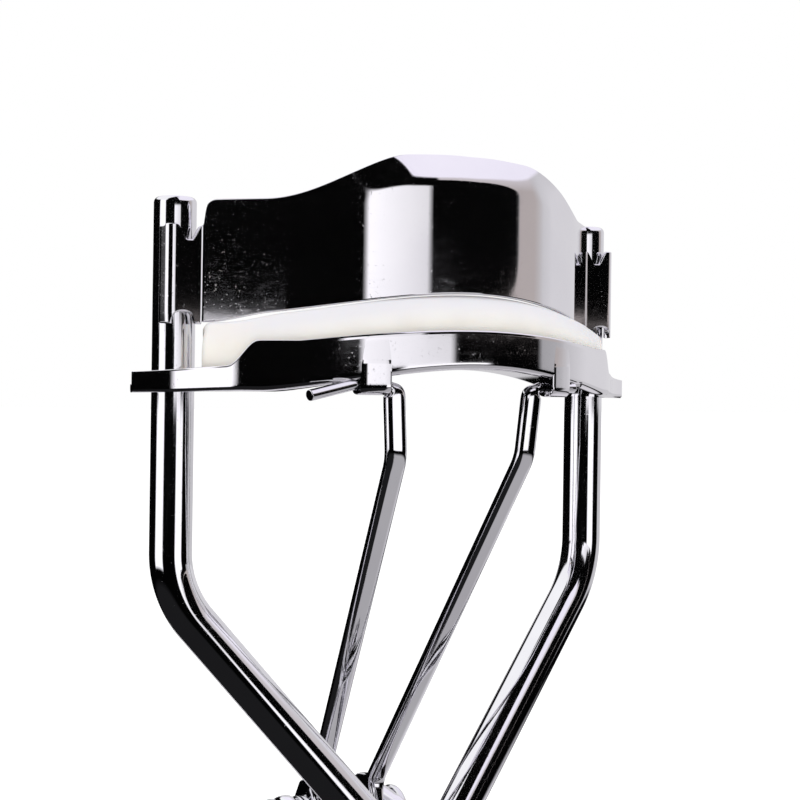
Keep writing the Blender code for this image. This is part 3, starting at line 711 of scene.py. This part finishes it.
def plate_plan():
    """Stations of the front surface from the middle to the right tab's end, as (point, outward normal,
    angle round the rail). The plate runs straight on from its arc into a tight valley, then flat past the
    rail and round its outer side."""
    centre = Vector((0.0, PLATE_APEX - PLATE_ARC_RADIUS))
    last = math.asin(PLATE_ARC_END / PLATE_ARC_RADIUS)
    stations = []
    for i in range(111):
        angle = last * i / 110
        out = Vector((math.sin(angle), math.cos(angle)))
        stations.append((centre + out * PLATE_ARC_RADIUS, out, None))
    end, out, _ = stations.pop()
    heading = Vector((out.y, -out.x))
    flat = Vector((math.cos(TAB_TILT), math.sin(TAB_TILT)))
    front = Vector((RAIL_X, TAB_FORWARD))
    valley = end + heading * ((front - end).cross(flat) / heading.cross(flat))
    bend = front + flat * ((TAB_BEND_X - RAIL_X) / flat.x)
    corners = [(*end, 0.0), (*valley, 0.0), (*bend, 0.0), (*TAB_TIP, 0.0)]
    radii = (VALLEY_RADIUS, TAB_BEND_RADIUS)
    for point, ahead in bent_path(corners, radii, straight_step=0.08, bend_step=0.04):
        angle = math.degrees(math.atan2(point.y, point.x - RAIL_X)) if point.x > valley.x else None
        stations.append((point.to_2d(), Vector((-ahead.y, ahead.x)), angle))
    return stations


def tab_top(angle):
    """A V-shaped notch in front of the rail."""
    notch = max(0.0, 1.0 - abs(angle - TAB_NOTCH_ANGLE) / TAB_NOTCH_HALF)
    return TAB_TOP - TAB_NOTCH * smooth(notch * 1.25) - TAB_END_DROP * smooth((52.0 - angle) / 6.0)


def tab_bottom(angle):
    """A round arch over the rail."""
    arch = max(0.0, 1.0 - abs(angle - TAB_ARCH_ANGLE) / TAB_ARCH_HALF)
    return TAB_BOTTOM + TAB_ARCH * math.sqrt(arch) * (2.0 - math.sqrt(arch))


def sheet_section(place, out, x, low, high, thick):
    """One upright section of the sheet: front face, rounded top, back face, rounded bottom."""
    def point(height, inset):
        rolled = max(0.0, (height - (high - PLATE_ROLL_HEIGHT)) / PLATE_ROLL_HEIGHT)
        fade = smooth((PLATE_ROLL_END - abs(x)) / PLATE_ROLL_FADE)
        lean = PLATE_ROLL_LEAN * rolled * fade
        inward = inset * (1.0 - 0.25 * lean) + PLATE_ROLL_BACK * rolled ** 2 * fade
        flat = place - out * inward
        return Vector((flat.x, flat.y, height - inset * lean * 0.6))

    def slope(count):
        """Heights from the rounded lower edge to the rounded top, closer together towards the top."""
        spots = [math.sin(math.pi / 2 * i / count) for i in range(count + 1)]
        return spots, low + EDGE_RADIUS, high - EDGE_RADIUS

    spots, bottom, top = slope(SHEET_ROWS)
    ring = [point(bottom, 0.0)]
    ring += [point(mix(bottom, top, mix(EDGE_SUPPORT, 1.0, v)), 0.0) for v in spots]
    turns = [math.pi * i / 8 for i in range(1, 8)]
    ring += [point(top + EDGE_RADIUS * math.sin(a), thick * (1.0 - math.cos(a)) / 2) for a in turns]
    ring += [point(mix(bottom, top, v), thick) for v in reversed(slope(SHEET_ROWS // 2)[0])]
    ring += [point(bottom - EDGE_RADIUS * math.sin(a), thick * (1.0 + math.cos(a)) / 2) for a in turns]
    return ring


def upper_plate():
    half = []
    for place, out, angle in plate_plan():
        if angle is None:
            low, high = plate_bottom(place.x), plate_top(place.x)
        else:
            low, high = tab_bottom(angle), tab_top(angle)
        half.append((place, out, low, high, SHEET))
    place, out, low, high, _ = half[-1]
    along = Vector((out.y, -out.x))
    for i in range(1, 6):
        angle = math.pi / 2 * i / 6
        thick = SHEET * math.cos(angle)
        step = place - out * ((SHEET - thick) / 2) + along * (SHEET / 2 * math.sin(angle))
        cut = TAB_END_CUT * (1 - math.cos(angle))
        half.append((step, out, low + cut, high - cut, thick))
    rings = []
    for side in (-1, 1):
        stations = half[:0:-1] if side < 0 else half
        for place, out, low, high, thick in stations:
            flat = Vector((side * place.x, place.y))
            normal = Vector((side * out.x, out.y))
            rings.append(sheet_section(flat, normal, flat.x, low, high, thick))
    return loft("chromed_upper_plate", rings)


# ---- Lower jaw and pad ----

def jaw_plan(x):
    """The front line of the pad, and its outward normal in plan."""
    centre = JAW_APEX - JAW_ARC_RADIUS
    depth = math.sqrt(JAW_ARC_RADIUS ** 2 - x ** 2)
    return Vector((x, centre + depth, 0.0)), Vector((x, depth, 0.0)).normalized()


def past_channel(x):
    return min(max(abs(x) - CHANNEL_END, 0.0), 1.0)


def floor_under(x):
    """Height of the underside of the jaw's floor, which arches up in the middle."""
    arch = max(math.cos(math.pi / 2 * min(abs(x) / FLOOR_ARCH_END, 1.0)), 0.0) ** 1.3
    return mix(FLOOR_END_HEIGHT, FLOOR_TIP_HEIGHT, past_channel(x)) + FLOOR_ARCH * arch


def wall_top(x):
    """Height of the channel's walls, cut down at the corners."""
    top = WALL_TOP + WALL_ARCH * math.cos(math.pi / 2 * min(abs(x) / WALL_ARCH_END, 1.0))
    ear = mix(EAR_FRONT_TOP, EAR_TIP_TOP, past_channel(x))
    return mix(top, ear, smooth((abs(x) - WALL_END) / WALL_SLOPES_OVER))


def bezier(first, second, third, fourth, t):
    u = 1.0 - t
    return first * u ** 3 + second * (3 * u * u * t) + third * (3 * u * t * t) + fourth * t ** 3


def ear_lines(t):
    """Plan points of the right ear's front and back edges, t from 0 at the channel to 1 at the tip."""
    place, out = jaw_plan(CHANNEL_END)
    start = place + out * (SHEET + GAP)
    end = place - out * (PAD_WIDTH + SHEET + GAP)
    ahead = Vector((out.y, -out.x, 0.0))
    tip = Vector((EAR_TIP_X, EAR_TIP_FORWARD, 0.0))
    front = bezier(start, start + ahead * 2.4, tip + Vector((-2.6, 1.8, 0.0)), tip, t)
    rail = Vector((RAIL_X, 0.0, 0.0))
    round_by = (t - EAR_ROUNDS_FROM) / (EAR_ROUNDS_TO - EAR_ROUNDS_FROM)
    angle = mix(EAR_BACK_FROM, EAR_BACK_TO, min(max(round_by, 0.0), 1.0))
    back = rail + Vector((math.cos(angle), math.sin(angle), 0.0)) * EAR_RADIUS
    if t < EAR_ROUNDS_FROM:
        heading = Vector((math.sin(EAR_BACK_FROM), -math.cos(EAR_BACK_FROM), 0.0))
        back = bezier(end, end + ahead * 1.2, back + heading * 1.6, back, t / EAR_ROUNDS_FROM)
    elif t > EAR_ROUNDS_TO:
        back = back.lerp(tip - Vector((0.05, 0.55, 0.0)), (t - EAR_ROUNDS_TO) / (1.0 - EAR_ROUNDS_TO))
    return front, back


def jaw_stations(ear_steps=70, channel_steps=150):
    """Plan points of the jaw's front and back edges from tip to tip, each with its channel coordinate."""
    ears = []
    for i in range(1, ear_steps + 1):
        t = i / ear_steps
        ears.append((*ear_lines(t), CHANNEL_END + t))
    channel = []
    for i in range(channel_steps + 1):
        x = mix(-CHANNEL_END, CHANNEL_END, i / channel_steps)
        place, out = jaw_plan(x)
        channel.append((place + out * (SHEET + GAP), place - out * (PAD_WIDTH + SHEET + GAP), x))
    flip = Vector((-1.0, 1.0, 1.0))
    left = [(front * flip, back * flip, -x) for front, back, x in reversed(ears)]
    return left + channel + ears


def rounded_outline(corners, radii, steps):
    """A closed flat outline whose corners are arcs, with equally many points whatever its shape."""
    made = []
    for i, (corner, radius, count) in enumerate(zip(corners, radii, steps)):
        before, after = corners[i - 1], corners[(i + 1) % len(corners)]
        back, ahead = (before - corner), (after - corner)
        room = 0.48 * min(back.length, ahead.length)
        cut = min(radius, room)
        start = corner + back.normalized() * cut
        end = corner + ahead.normalized() * cut
        for j in range(count + 1):
            t = j / count
            made.append(start * (1 - t) ** 2 + corner * (2 * t * (1 - t)) + end * t ** 2)
    return made


def lower_jaw():
    """A bent channel for the pad, with an ear round each rail and a rolled lug for each link."""
    rings = []
    radii = (JAW_BEND, 0.01, 0.01, JAW_RIM, JAW_RIM, JAW_INSIDE, JAW_INSIDE, JAW_RIM, JAW_RIM, JAW_BEND)
    steps = [18 if radius == JAW_BEND else 4 for radius in radii]
    for front, back, x in jaw_stations():
        across = back - front
        depth = across.length
        inward = min(SHEET, 0.42 * depth)
        low = floor_under(x)
        high = low + SHEET
        front_top = max(wall_top(x), high + 0.2)
        back_top = mix(wall_top(x), high + 0.12, smooth((abs(x) - BACK_WALL_END) / BACK_WALL_SLOPES_OVER))
        rise = front_top - low
        upper, lower = front_top - 0.1 * rise, low + min(JAW_BEND, 0.4 * rise) + 0.02 * rise
        flat = [(0.0, low), (0.0, lower), (0.0, upper), (0.0, front_top), (inward, front_top), (inward, high)]
        flat += [(depth - inward, high), (depth - inward, back_top), (depth, back_top), (depth, low)]
        outline = rounded_outline([Vector(point) for point in flat], radii, steps)
        direction = across.normalized()
        rings.append([front + direction * point.x + Vector((0.0, 0.0, point.y)) for point in outline])
    made = loft("chromed_lower_jaw", rings)
    for side in (-1, 1):
        hole = [
            [
                (side * RAIL_X + EAR_HOLE * math.cos(angle), EAR_HOLE * math.sin(angle), height)
                for angle in (math.tau * i / 72 for i in range(72))
            ]
            for height in (-EAR_CUT_REACH, EAR_CUT_REACH)
        ]
        carve(made, loft("ear_drill", hole))
        carve(made, lug(side), "UNION")
        pierce(made, LUG_HOLE, LUG_FORWARD, LUG_HEIGHT, side * LUG_BORE_INNER_X, side * LUG_BORE_OUTER_X)
    return made


def lug(side):
    """The strip that runs down from the front wall and rolls under into a tube for a link's foot."""
    rings = []
    for share, shrink in LUG_SECTIONS:
        x = mix(LUG_INNER_X, LUG_OUTER_X, share)
        wall = JAW_APEX - JAW_ARC_RADIUS + math.sqrt((JAW_ARC_RADIUS + SHEET + GAP) ** 2 - x * x)
        front = wall + LUG_STANDS_OUT
        middle, half = (front + LUG_BACK) / 2, (front - LUG_BACK) / 2
        outline = []
        for i in range(41):
            c, s = superellipse(math.radians(mix(0.0, -250.0, i / 40)), 2.6)
            outline.append((middle + half * c, LUG_HEIGHT + LUG_RADIUS * s))
        outline += [(LUG_FORWARD, LUG_STRIP_TOP - 0.6)]
        outline += [(wall - 0.3, LUG_STRIP_TOP), (wall - 0.06, LUG_STRIP_TOP)]
        for i in range(12):
            t = i / 12
            set_back = 0.05 * max(0.0, 1.0 - 5.0 * t)
            outline.append((front - set_back, mix(LUG_STRIP_TOP - 0.03, LUG_HEIGHT, t)))
        rings.append([
            (side * x, mix(forward, LUG_FORWARD, shrink), mix(height, LUG_HEIGHT, shrink))
            for forward, height in outline
        ])
    return loft("lug", rings)


def pad_width(x):
    return mix(PAD_WIDTH, PAD_END_WIDTH, smooth((abs(x) - PAD_NARROWS_FROM) / PAD_NARROWS_OVER))


def silicone_pad():
    """A soft curved strip with a rounded top that meets the plate, thin where it passes the rails."""
    rings = []
    radii = (0.15, 0.9, 0.3, 0.3, 0.9, 0.15)
    for i in range(181):
        x = PAD_END_X * math.sin(math.pi / 2 * mix(-1.0, 1.0, i / 180))
        place, out = jaw_plan(x)
        width = pad_width(x)
        low = max(floor_under(x) + SHEET + GAP / 2, 0.55)
        high = plate_bottom(x) - 0.04
        close = max(0.0, (abs(x) - PAD_END_X + PAD_ENDS_ROUND) / PAD_ENDS_ROUND)
        shrink = PAD_ENDS_ROUND * (1.0 - math.sqrt(max(1.0 - close * close, 0.0)))
        top = high - shrink
        deep, tall = min(PAD_SOFT_DEPTH, 0.3 * width), min(PAD_SOFT_HEIGHT, 0.4 * (top - low))
        corners = [(-shrink, low), (-shrink, top - tall), (-shrink - deep, top)]
        corners += [(shrink + deep - width, top), (shrink - width, top - tall), (shrink - width, low)]
        outline = rounded_outline([Vector(point) for point in corners], radii, [7] * len(radii))
        rings.append([place + out * point.x + Vector((0.0, 0.0, point.y)) for point in outline])
    return loft("soft_pad", rings)


# ---- Materials ----

class Nodes:
    """Adds nodes to a tree and links them."""

    def __init__(self, tree):
        self.tree = tree

    def feed(self, value, socket):
        """Links a socket, or sets a value; a colour is given without its alpha."""
        if isinstance(value, bpy.types.NodeSocket):
            self.tree.links.new(value, socket)
        elif socket.type == "RGBA":
            socket.default_value = (*value, 1.0)
        else:
            socket.default_value = value

    def node(self, kind, inputs=None, **settings):
        made = self.tree.nodes.new("ShaderNode" + kind)
        for key, value in settings.items():
            setattr(made, key, value)
        for key, value in (inputs or {}).items():
            self.feed(value, made.inputs[key])
        return made

    def math(self, operation, *values, clamp=False):
        made = self.node("Math", dict(enumerate(values)), operation=operation, use_clamp=clamp)
        return made.outputs["Value"]

    def mix(self, factor, first, second):
        made = self.node("Mix", {"Factor": factor}, data_type="RGBA")
        for value, socket in zip((first, second), [s for s in made.inputs if s.type == "RGBA"]):
            self.feed(value, socket)
        return [s for s in made.outputs if s.type == "RGBA"][0]


class Shader(Nodes):
    """A new material's nodes."""

    def __init__(self, name):
        self.material = bpy.data.materials.new(name)
        self.material.use_nodes = True
        super().__init__(self.material.node_tree)
        self.base = self.tree.nodes["Principled BSDF"].inputs
        self.place = self.node("TexCoord").outputs["Object"]

    def set(self, **inputs):
        """Feeds the surface's inputs, whose names are given with underscores."""
        for key, value in inputs.items():
            self.feed(value, self.base[key.replace("_", " ")])

    def noise(self, scale, detail=3.0, stretch=(1.0, 1.0, 1.0), roughness=0.5):
        mapping = self.node("Mapping", {"Scale": stretch, "Vector": self.place})
        made = self.node("TexNoise", {"Scale": scale, "Detail": detail, "Roughness": roughness})
        self.feed(mapping.outputs["Vector"], made.inputs["Vector"])
        return made.outputs["Fac"]

    def range(self, value, low, high, to_low=0.0, to_high=1.0):
        ends = {"From Min": low, "From Max": high, "To Min": to_low, "To Max": to_high}
        return self.node("MapRange", {"Value": value, **ends}).outputs["Result"]

    def bump(self, height, strength, distance):
        made = self.node("Bump", {"Strength": strength, "Distance": distance, "Height": height})
        self.set(Normal=made.outputs["Normal"])


def chrome(name, bright, dull, polish, scuff, along=(1.0, 1.0, 1.0)):
    """Plated steel: a mirror with slow waves, fine lines along the piece, and specks of dust."""
    s = Shader(name)
    clouds = s.noise(160.0, 4.0)
    lines = s.noise(2600.0, 3.0, along, 0.6)
    dust = s.range(s.noise(5200.0, 2.0), 0.66, 0.74)
    film = s.range(clouds, 0.4, 0.75, polish, polish + scuff)
    rubbed = s.math("MULTIPLY", s.range(lines, 0.52, 0.72), scuff)
    rough = s.math("ADD", s.math("ADD", film, rubbed), s.math("MULTIPLY", dust, 0.12))
    s.set(Metallic=1.0, Base_Color=s.mix(s.range(clouds, 0.35, 0.7), bright, dull), Roughness=rough)
    relief = s.math("ADD", s.math("MULTIPLY", lines, 0.35), s.math("MULTIPLY", dust, 0.8))
    s.bump(relief, 0.06, 0.00001)
    return s.material


def silicone():
    """Cream on the front, with a painted lilac-white tint standing for the light on the faces that look up,
    and a little waxy.
    """
    s = Shader("pad_silicone")
    tone = s.noise(420.0, 4.0)
    # Painted light: faces that look up get a lilac-white tint for the light from above. The cream front's
    # random tone is the pad's own colour.
    painted_top_light_mask = s.node("SeparateXYZ", {0: s.node("NewGeometry").outputs["Normal"]}).outputs["Z"]
    front = s.mix(s.range(tone, 0.35, 0.7), (0.77, 0.745, 0.70), (0.73, 0.70, 0.655))
    color = s.mix(s.range(painted_top_light_mask, 0.05, 0.5), front, (0.68, 0.67, 0.70))
    s.set(Base_Color=color, Roughness=s.range(tone, 0.3, 0.7, 0.38, 0.52), Specular_IOR_Level=0.35)
    s.set(Subsurface_Weight=0.35, Subsurface_Radius=(1.0, 0.7, 0.5), Subsurface_Scale=0.0012)
    s.bump(s.noise(9000.0, 2.0), 0.15, 0.00002)
    return s.material


# ---- Assembly ----

WIRE, PRESSED, HARDWARE, SOFT = "chromed_wire", "chromed_sheet", "chromed_hardware", "pad_silicone"


def fittings():
    """Every piece with its body, its node and its material's slot."""
    yield frame_wire(), "frame", "frame_wire", WIRE
    yield upper_plate(), "frame", "upper_plate", PRESSED
    yield ferrule("chromed_frame_ferrule", -1), "frame", "frame_ferrule", HARDWARE
    hole = PIVOT_PIN_RADIUS + PIN_CLEARANCE
    place = (PIVOT_FORWARD, PIVOT_HEIGHT)
    piece = rivet("domed_pivot_rivet", PIVOT_PIN_RADIUS, PIVOT_HEAD_RADIUS, *place)
    yield piece, "frame", "pivot_rivet", HARDWARE
    ends = (STRAND_X + FRAME_EYE_HALF + GAP, LEVER_X - LEVER_EYE_HALF - GAP)
    for side, word in SIDES:
        width = sorted(side * x for x in ends)
        piece = washer(f"{word}_round_pivot_washer", hole, PIVOT_HEAD_RADIUS, *width, *place)
        yield piece, "frame", f"{word}_pivot_washer", HARDWARE
    yield lower_jaw(), "jaw", "lower_jaw", PRESSED
    yield silicone_pad(), "jaw", "silicone_pad", SOFT
    for (side, word), foot in zip(SIDES, (LEFT_FOOT, RIGHT_FOOT)):
        yield link(f"chromed_{word}_link", side, foot), f"{word}_link", f"{word}_link", WIRE
    yield lever_wire(), "lever", "lever_wire", WIRE
    yield ferrule("chromed_lever_ferrule", 1), "lever", "lever_ferrule", HARDWARE
    hole = LINK_PIN_RADIUS + PIN_CLEARANCE
    place = (LINK_PIN_FORWARD, LINK_PIN_HEIGHT)
    piece = rivet("domed_link_rivet", LINK_PIN_RADIUS, LINK_HEAD_RADIUS, *place)
    yield piece, "lever", "link_rivet", HARDWARE
    ends = (LINK_X + LINK_EYE_HALF + WASHER_GAP, LEVER_X - LEVER_EYE_HALF - WASHER_GAP)
    for side, word in SIDES:
        width = sorted(side * x for x in ends)
        piece = washer(f"{word}_round_link_washer", hole, LINK_HEAD_RADIUS, *width, *place)
        yield piece, "lever", f"{word}_link_washer", HARDWARE
    end = LINK_X - LINK_EYE_HALF - GAP
    spacer = washer("tube_link_spacer", hole, hole + SPACER_WALL, -end, end, *place)
    yield spacer, "lever", "link_spacer", HARDWARE


def build():
    """Makes every piece, gives it its material and puts it in the place of its node."""
    finishes = {
        WIRE: chrome("bright_wire", (0.86, 0.86, 0.88), (0.80, 0.79, 0.82), 0.035, 0.05, (1.0, 1.0, 0.06)),
        PRESSED: chrome("bright_sheet", (0.87, 0.86, 0.88), (0.82, 0.81, 0.84), 0.03, 0.03, (0.3, 0.3, 1.0)),
        HARDWARE: chrome("bright_hardware", (0.80, 0.80, 0.81), (0.72, 0.72, 0.74), 0.07, 0.08),
        SOFT: silicone(),
    }
    for piece, body, node, slot in fittings():
        piece.data.materials.clear()
        piece.data.materials.append(finishes[slot])
        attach(piece, body)
        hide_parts(node)


# ---- Studio ----

# What polished metal sees round it: the bearing in degrees at which each panel begins, counted from the
# front and positive to the object's right, and its brightness there and at its other edge. The upper plate
# looks a little upwards, the jaw straight ahead, and the wires below them downwards.
BLACK = 0.001
PLATE_PANELS = (
    (-180.0, BLACK, BLACK),
    (-110.0, 1.25, 1.25),
    (-74.0, BLACK, BLACK),
    (-25.0, 1.2, 0.85),
    (7.0, BLACK, BLACK),
    (60.0, 0.42, 0.45),
    (68.0, 0.55, 0.75),
    (90.0, 0.75, 0.70),
    (170.0, BLACK, BLACK),
)
JAW_PANELS = (
    (-180.0, BLACK, BLACK),
    (-103.0, 1.25, 1.25),
    (-66.0, BLACK, BLACK),
    (-17.0, 1.2, 0.85),
    (20.0, BLACK, BLACK),
    (62.0, 0.42, 0.50),
    (76.0, 0.60, 0.75),
    (96.0, 0.75, 0.70),
    (170.0, BLACK, BLACK),
)
WIRE_PANELS = (
    (-180.0, BLACK, BLACK),
    (-112.0, 1.25, 1.25),
    (-66.0, BLACK, BLACK),
    (0.0, 1.25, 1.25),
    (36.0, BLACK, BLACK),
    (77.0, 0.62, 0.62),
    (150.0, BLACK, BLACK),
)
SOFT_EDGE = 1.2
WIRE_PANELS_END = -0.6
JAW_PANELS_END = 2.3
WARM_WALL = (0.50, 0.45, 0.44)
PALE_WALL = (0.85, 0.82, 0.88)
OVERHEAD = (1.0, 0.965, 1.08)
PALE_LEFT = (1.05, 1.05, 1.07)
TABLE_SHADOW = (0.012, 0.012, 0.013)
TABLE_FRONT = (0.44, 0.43, 0.45)
TABLE_RIGHT = (0.74, 0.72, 0.76)
SOFT_LIGHT_LOW = 0.85
SOFT_LIGHT_HIGH = 1.25
# The dark flag's middle, in degrees, and how far it reaches from there.
FLAG_BEARING = 8.0
FLAG_HEIGHT = 5.0
FLAG_ASIDE = 52.0
FLAG_UP = 17.0
FLAG_DOWN = 2.7


class World(Nodes):
    """The studio's nodes."""

    def over(self, value, edge, softness):
        """0 below the edge and 1 above it."""
        return self.math("DIVIDE", self.math("SUBTRACT", value, edge - softness / 2), softness, clamp=True)

    def under(self, value, edge, softness):
        return self.math("SUBTRACT", 1.0, self.over(value, edge, softness))

    def both(self, first, second):
        return self.math("MULTIPLY", first, second)

    def panels(self, share, layout):
        """Brightness by bearing, with soft edges between the panels."""
        ramp = self.node("ValToRGB", {"Fac": share})
        elements = ramp.color_ramp.elements
        ends = [start for start, _, _ in layout[1:]] + [180.0]
        stops = []
        for (start, first, last), end in zip(layout, ends):
            stops.append((start + (SOFT_EDGE if start > -180.0 else 0.0), first))
            stops.append((end - (SOFT_EDGE if end < 180.0 else 0.0), last))
        elements.remove(elements[1])
        for i, (bearing, level) in enumerate(stops):
            position = (bearing + 180.0) / 360.0
            spot = elements[0] if i == 0 else elements.new(position)
            spot.position = position
            spot.color = (level, level * 0.985, level * 1.02, 1.0)
        return ramp.outputs["Color"]


def studio_world():
    """White for the camera, graded soft light, and panels and flags for mirror reflections."""
    studio = bpy.data.worlds.new("studio")
    studio.use_nodes = True
    studio.node_tree.nodes.clear()
    bpy.context.scene.world = studio
    w = World(studio.node_tree)
    x, y, z = w.node("SeparateXYZ", {0: w.node("TexCoord").outputs["Generated"]}).outputs
    turn = w.math("ARCTAN2", x, w.math("MULTIPLY", y, -1.0))
    bearing = w.math("DEGREES", turn)
    height = w.math("DEGREES", w.math("ARCSINE", z))
    share = w.math("ADD", w.math("DIVIDE", turn, math.tau), 0.5)
    above_jaw = w.over(height, JAW_PANELS_END, 0.4)
    above_wires = w.over(height, WIRE_PANELS_END, 0.4)
    panels = w.mix(above_wires, w.panels(share, WIRE_PANELS), w.panels(share, JAW_PANELS))
    panels = w.mix(above_jaw, panels, w.panels(share, PLATE_PANELS))
    # The front panel ends a little above eye level, under a black gap.
    front = w.both(w.over(bearing, -74.0, 2.0), w.under(bearing, 12.0, 2.0))
    panels = w.mix(w.both(w.over(height, 11.0, 2.0), front), panels, (BLACK,) * 3)
    # Beside it a dark flag with rounded corners stands before a dim brownish wall.
    aside = w.math("ABSOLUTE", w.math("DIVIDE", w.math("SUBTRACT", bearing, FLAG_BEARING), FLAG_ASIDE))
    aside = w.math("POWER", aside, 3.0)
    above = w.math("DIVIDE", w.math("MAXIMUM", w.math("SUBTRACT", height, FLAG_HEIGHT), 0.0), FLAG_UP)
    below = w.math("DIVIDE", w.math("MAXIMUM", w.math("SUBTRACT", FLAG_HEIGHT, height), 0.0), FLAG_DOWN)
    rise = w.math("POWER", w.math("ADD", above, below), 3.0)
    outside = w.over(w.math("ADD", aside, rise), 1.0, 0.08)
    beside = w.both(w.both(w.over(bearing, 12.0, 2.0), w.under(bearing, 76.0, 8.0)), above_jaw)
    wall = w.mix(w.over(height, 26.0, 26.0), WARM_WALL, PALE_WALL)
    panels = w.mix(w.both(outside, beside), panels, wall)
    # A wide lilac-white light overhead, to the right of the front, round a black hatch.
    overhead = w.both(w.over(height, 27.0, 3.5), w.over(x, 0.0, 0.02))
    panels = w.mix(overhead, panels, OVERHEAD)
    panels = w.mix(w.over(height, 78.0, 3.0), panels, (BLACK,) * 3)
    # High on the left stands a white wall.
    panels = w.mix(w.both(w.over(height, 25.0, 4.0), w.under(bearing, -70.0, 6.0)), panels, PALE_LEFT)
    # The table is in the object's shadow on the left, and brightens towards the right.
    table = w.mix(w.over(bearing, 92.0, 30.0), TABLE_FRONT, TABLE_RIGHT)
    table = w.mix(w.over(bearing, 6.0, 10.0), TABLE_SHADOW, table)
    panels = w.mix(w.under(height, -13.0, 2.0), panels, (BLACK,) * 3)
    panels = w.mix(w.under(height, -21.0, 5.0), panels, table)
    soft = w.mix(w.over(height, 25.0, 60.0), (SOFT_LIGHT_LOW,) * 3, (SOFT_LIGHT_HIGH,) * 3)
    rays = w.node("LightPath").outputs
    seen = w.mix(rays["Is Glossy Ray"], soft, panels)
    seen = w.mix(rays["Is Camera Ray"], seen, (1.0, 1.0, 1.0))
    background = w.node("Background", {"Color": seen})
    w.node("OutputWorld", {"Surface": background.outputs["Background"]})


FLOOR_SIZE = 6.0


def studio_floor():
    mesh = bpy.data.meshes.new("studio_floor")
    corners = [(FLOOR_SIZE * x, FLOOR_SIZE * y, 0.0) for x, y in ((-1, -1), (1, -1), (1, 1), (-1, 1))]
    mesh.from_pydata(corners, [], [(0, 1, 2, 3)])
    floor = bpy.data.objects.new("studio_floor", mesh)
    bpy.context.scene.collection.objects.link(floor)
    s = Shader("pale_floor")
    s.set(Base_Color=(0.99, 0.99, 0.99), Roughness=0.9, Specular_IOR_Level=0.0)
    mesh.materials.append(s.material)
    floor.visible_glossy = False


def studio_light():
    data = bpy.data.lights.new("soft_overhead", "AREA")
    data.shape = "DISK"
    data.size = 0.5
    data.energy = 1.2
    light = bpy.data.objects.new("soft_overhead", data)
    light.location = (-0.15, -0.25, 0.7)
    light.rotation_euler = (Vector((0.0, 0.0, 0.08)) - light.location).to_track_quat("-Z", "Y").to_euler()
    light.visible_glossy = False
    bpy.context.scene.collection.objects.link(light)


CAMERA_BEARING = -30.0
CAMERA_DISTANCE = 125.0
CAMERA_ASIDE = 0.57
CAMERA_LENS = 74.7
CAMERA_ROLL = 0.8
HORIZON_SHIFT = -0.01375


def studio_camera():
    """At the height of the jaw's ends, level, 30 degrees to the left of the front."""
    turn = math.radians(CAMERA_BEARING)
    ahead = Vector((-math.sin(turn), math.cos(turn), 0.0))
    right = Vector((math.cos(turn), math.sin(turn), 0.0))
    axis = Vector((0.0, RAIL_Y, ZERO_HEIGHT))
    data = bpy.data.cameras.new("camera")
    data.sensor_width = 36.0
    data.lens = CAMERA_LENS
    data.shift_y = HORIZON_SHIFT
    data.clip_start = 0.01
    data.clip_end = 20.0
    camera = bpy.data.objects.new("camera", data)
    camera.location = (axis - ahead * CAMERA_DISTANCE + right * CAMERA_ASIDE) * MM
    level = ahead.to_track_quat("-Z", "Y")
    camera.rotation_euler = level.to_euler()
    camera.rotation_euler.rotate_axis("Z", math.radians(CAMERA_ROLL))
    bpy.context.scene.collection.objects.link(camera)
    bpy.context.scene.camera = camera


build()
studio_world()
studio_floor()
studio_light()
studio_camera()
bpy.context.scene.view_settings.view_transform = "Standard"
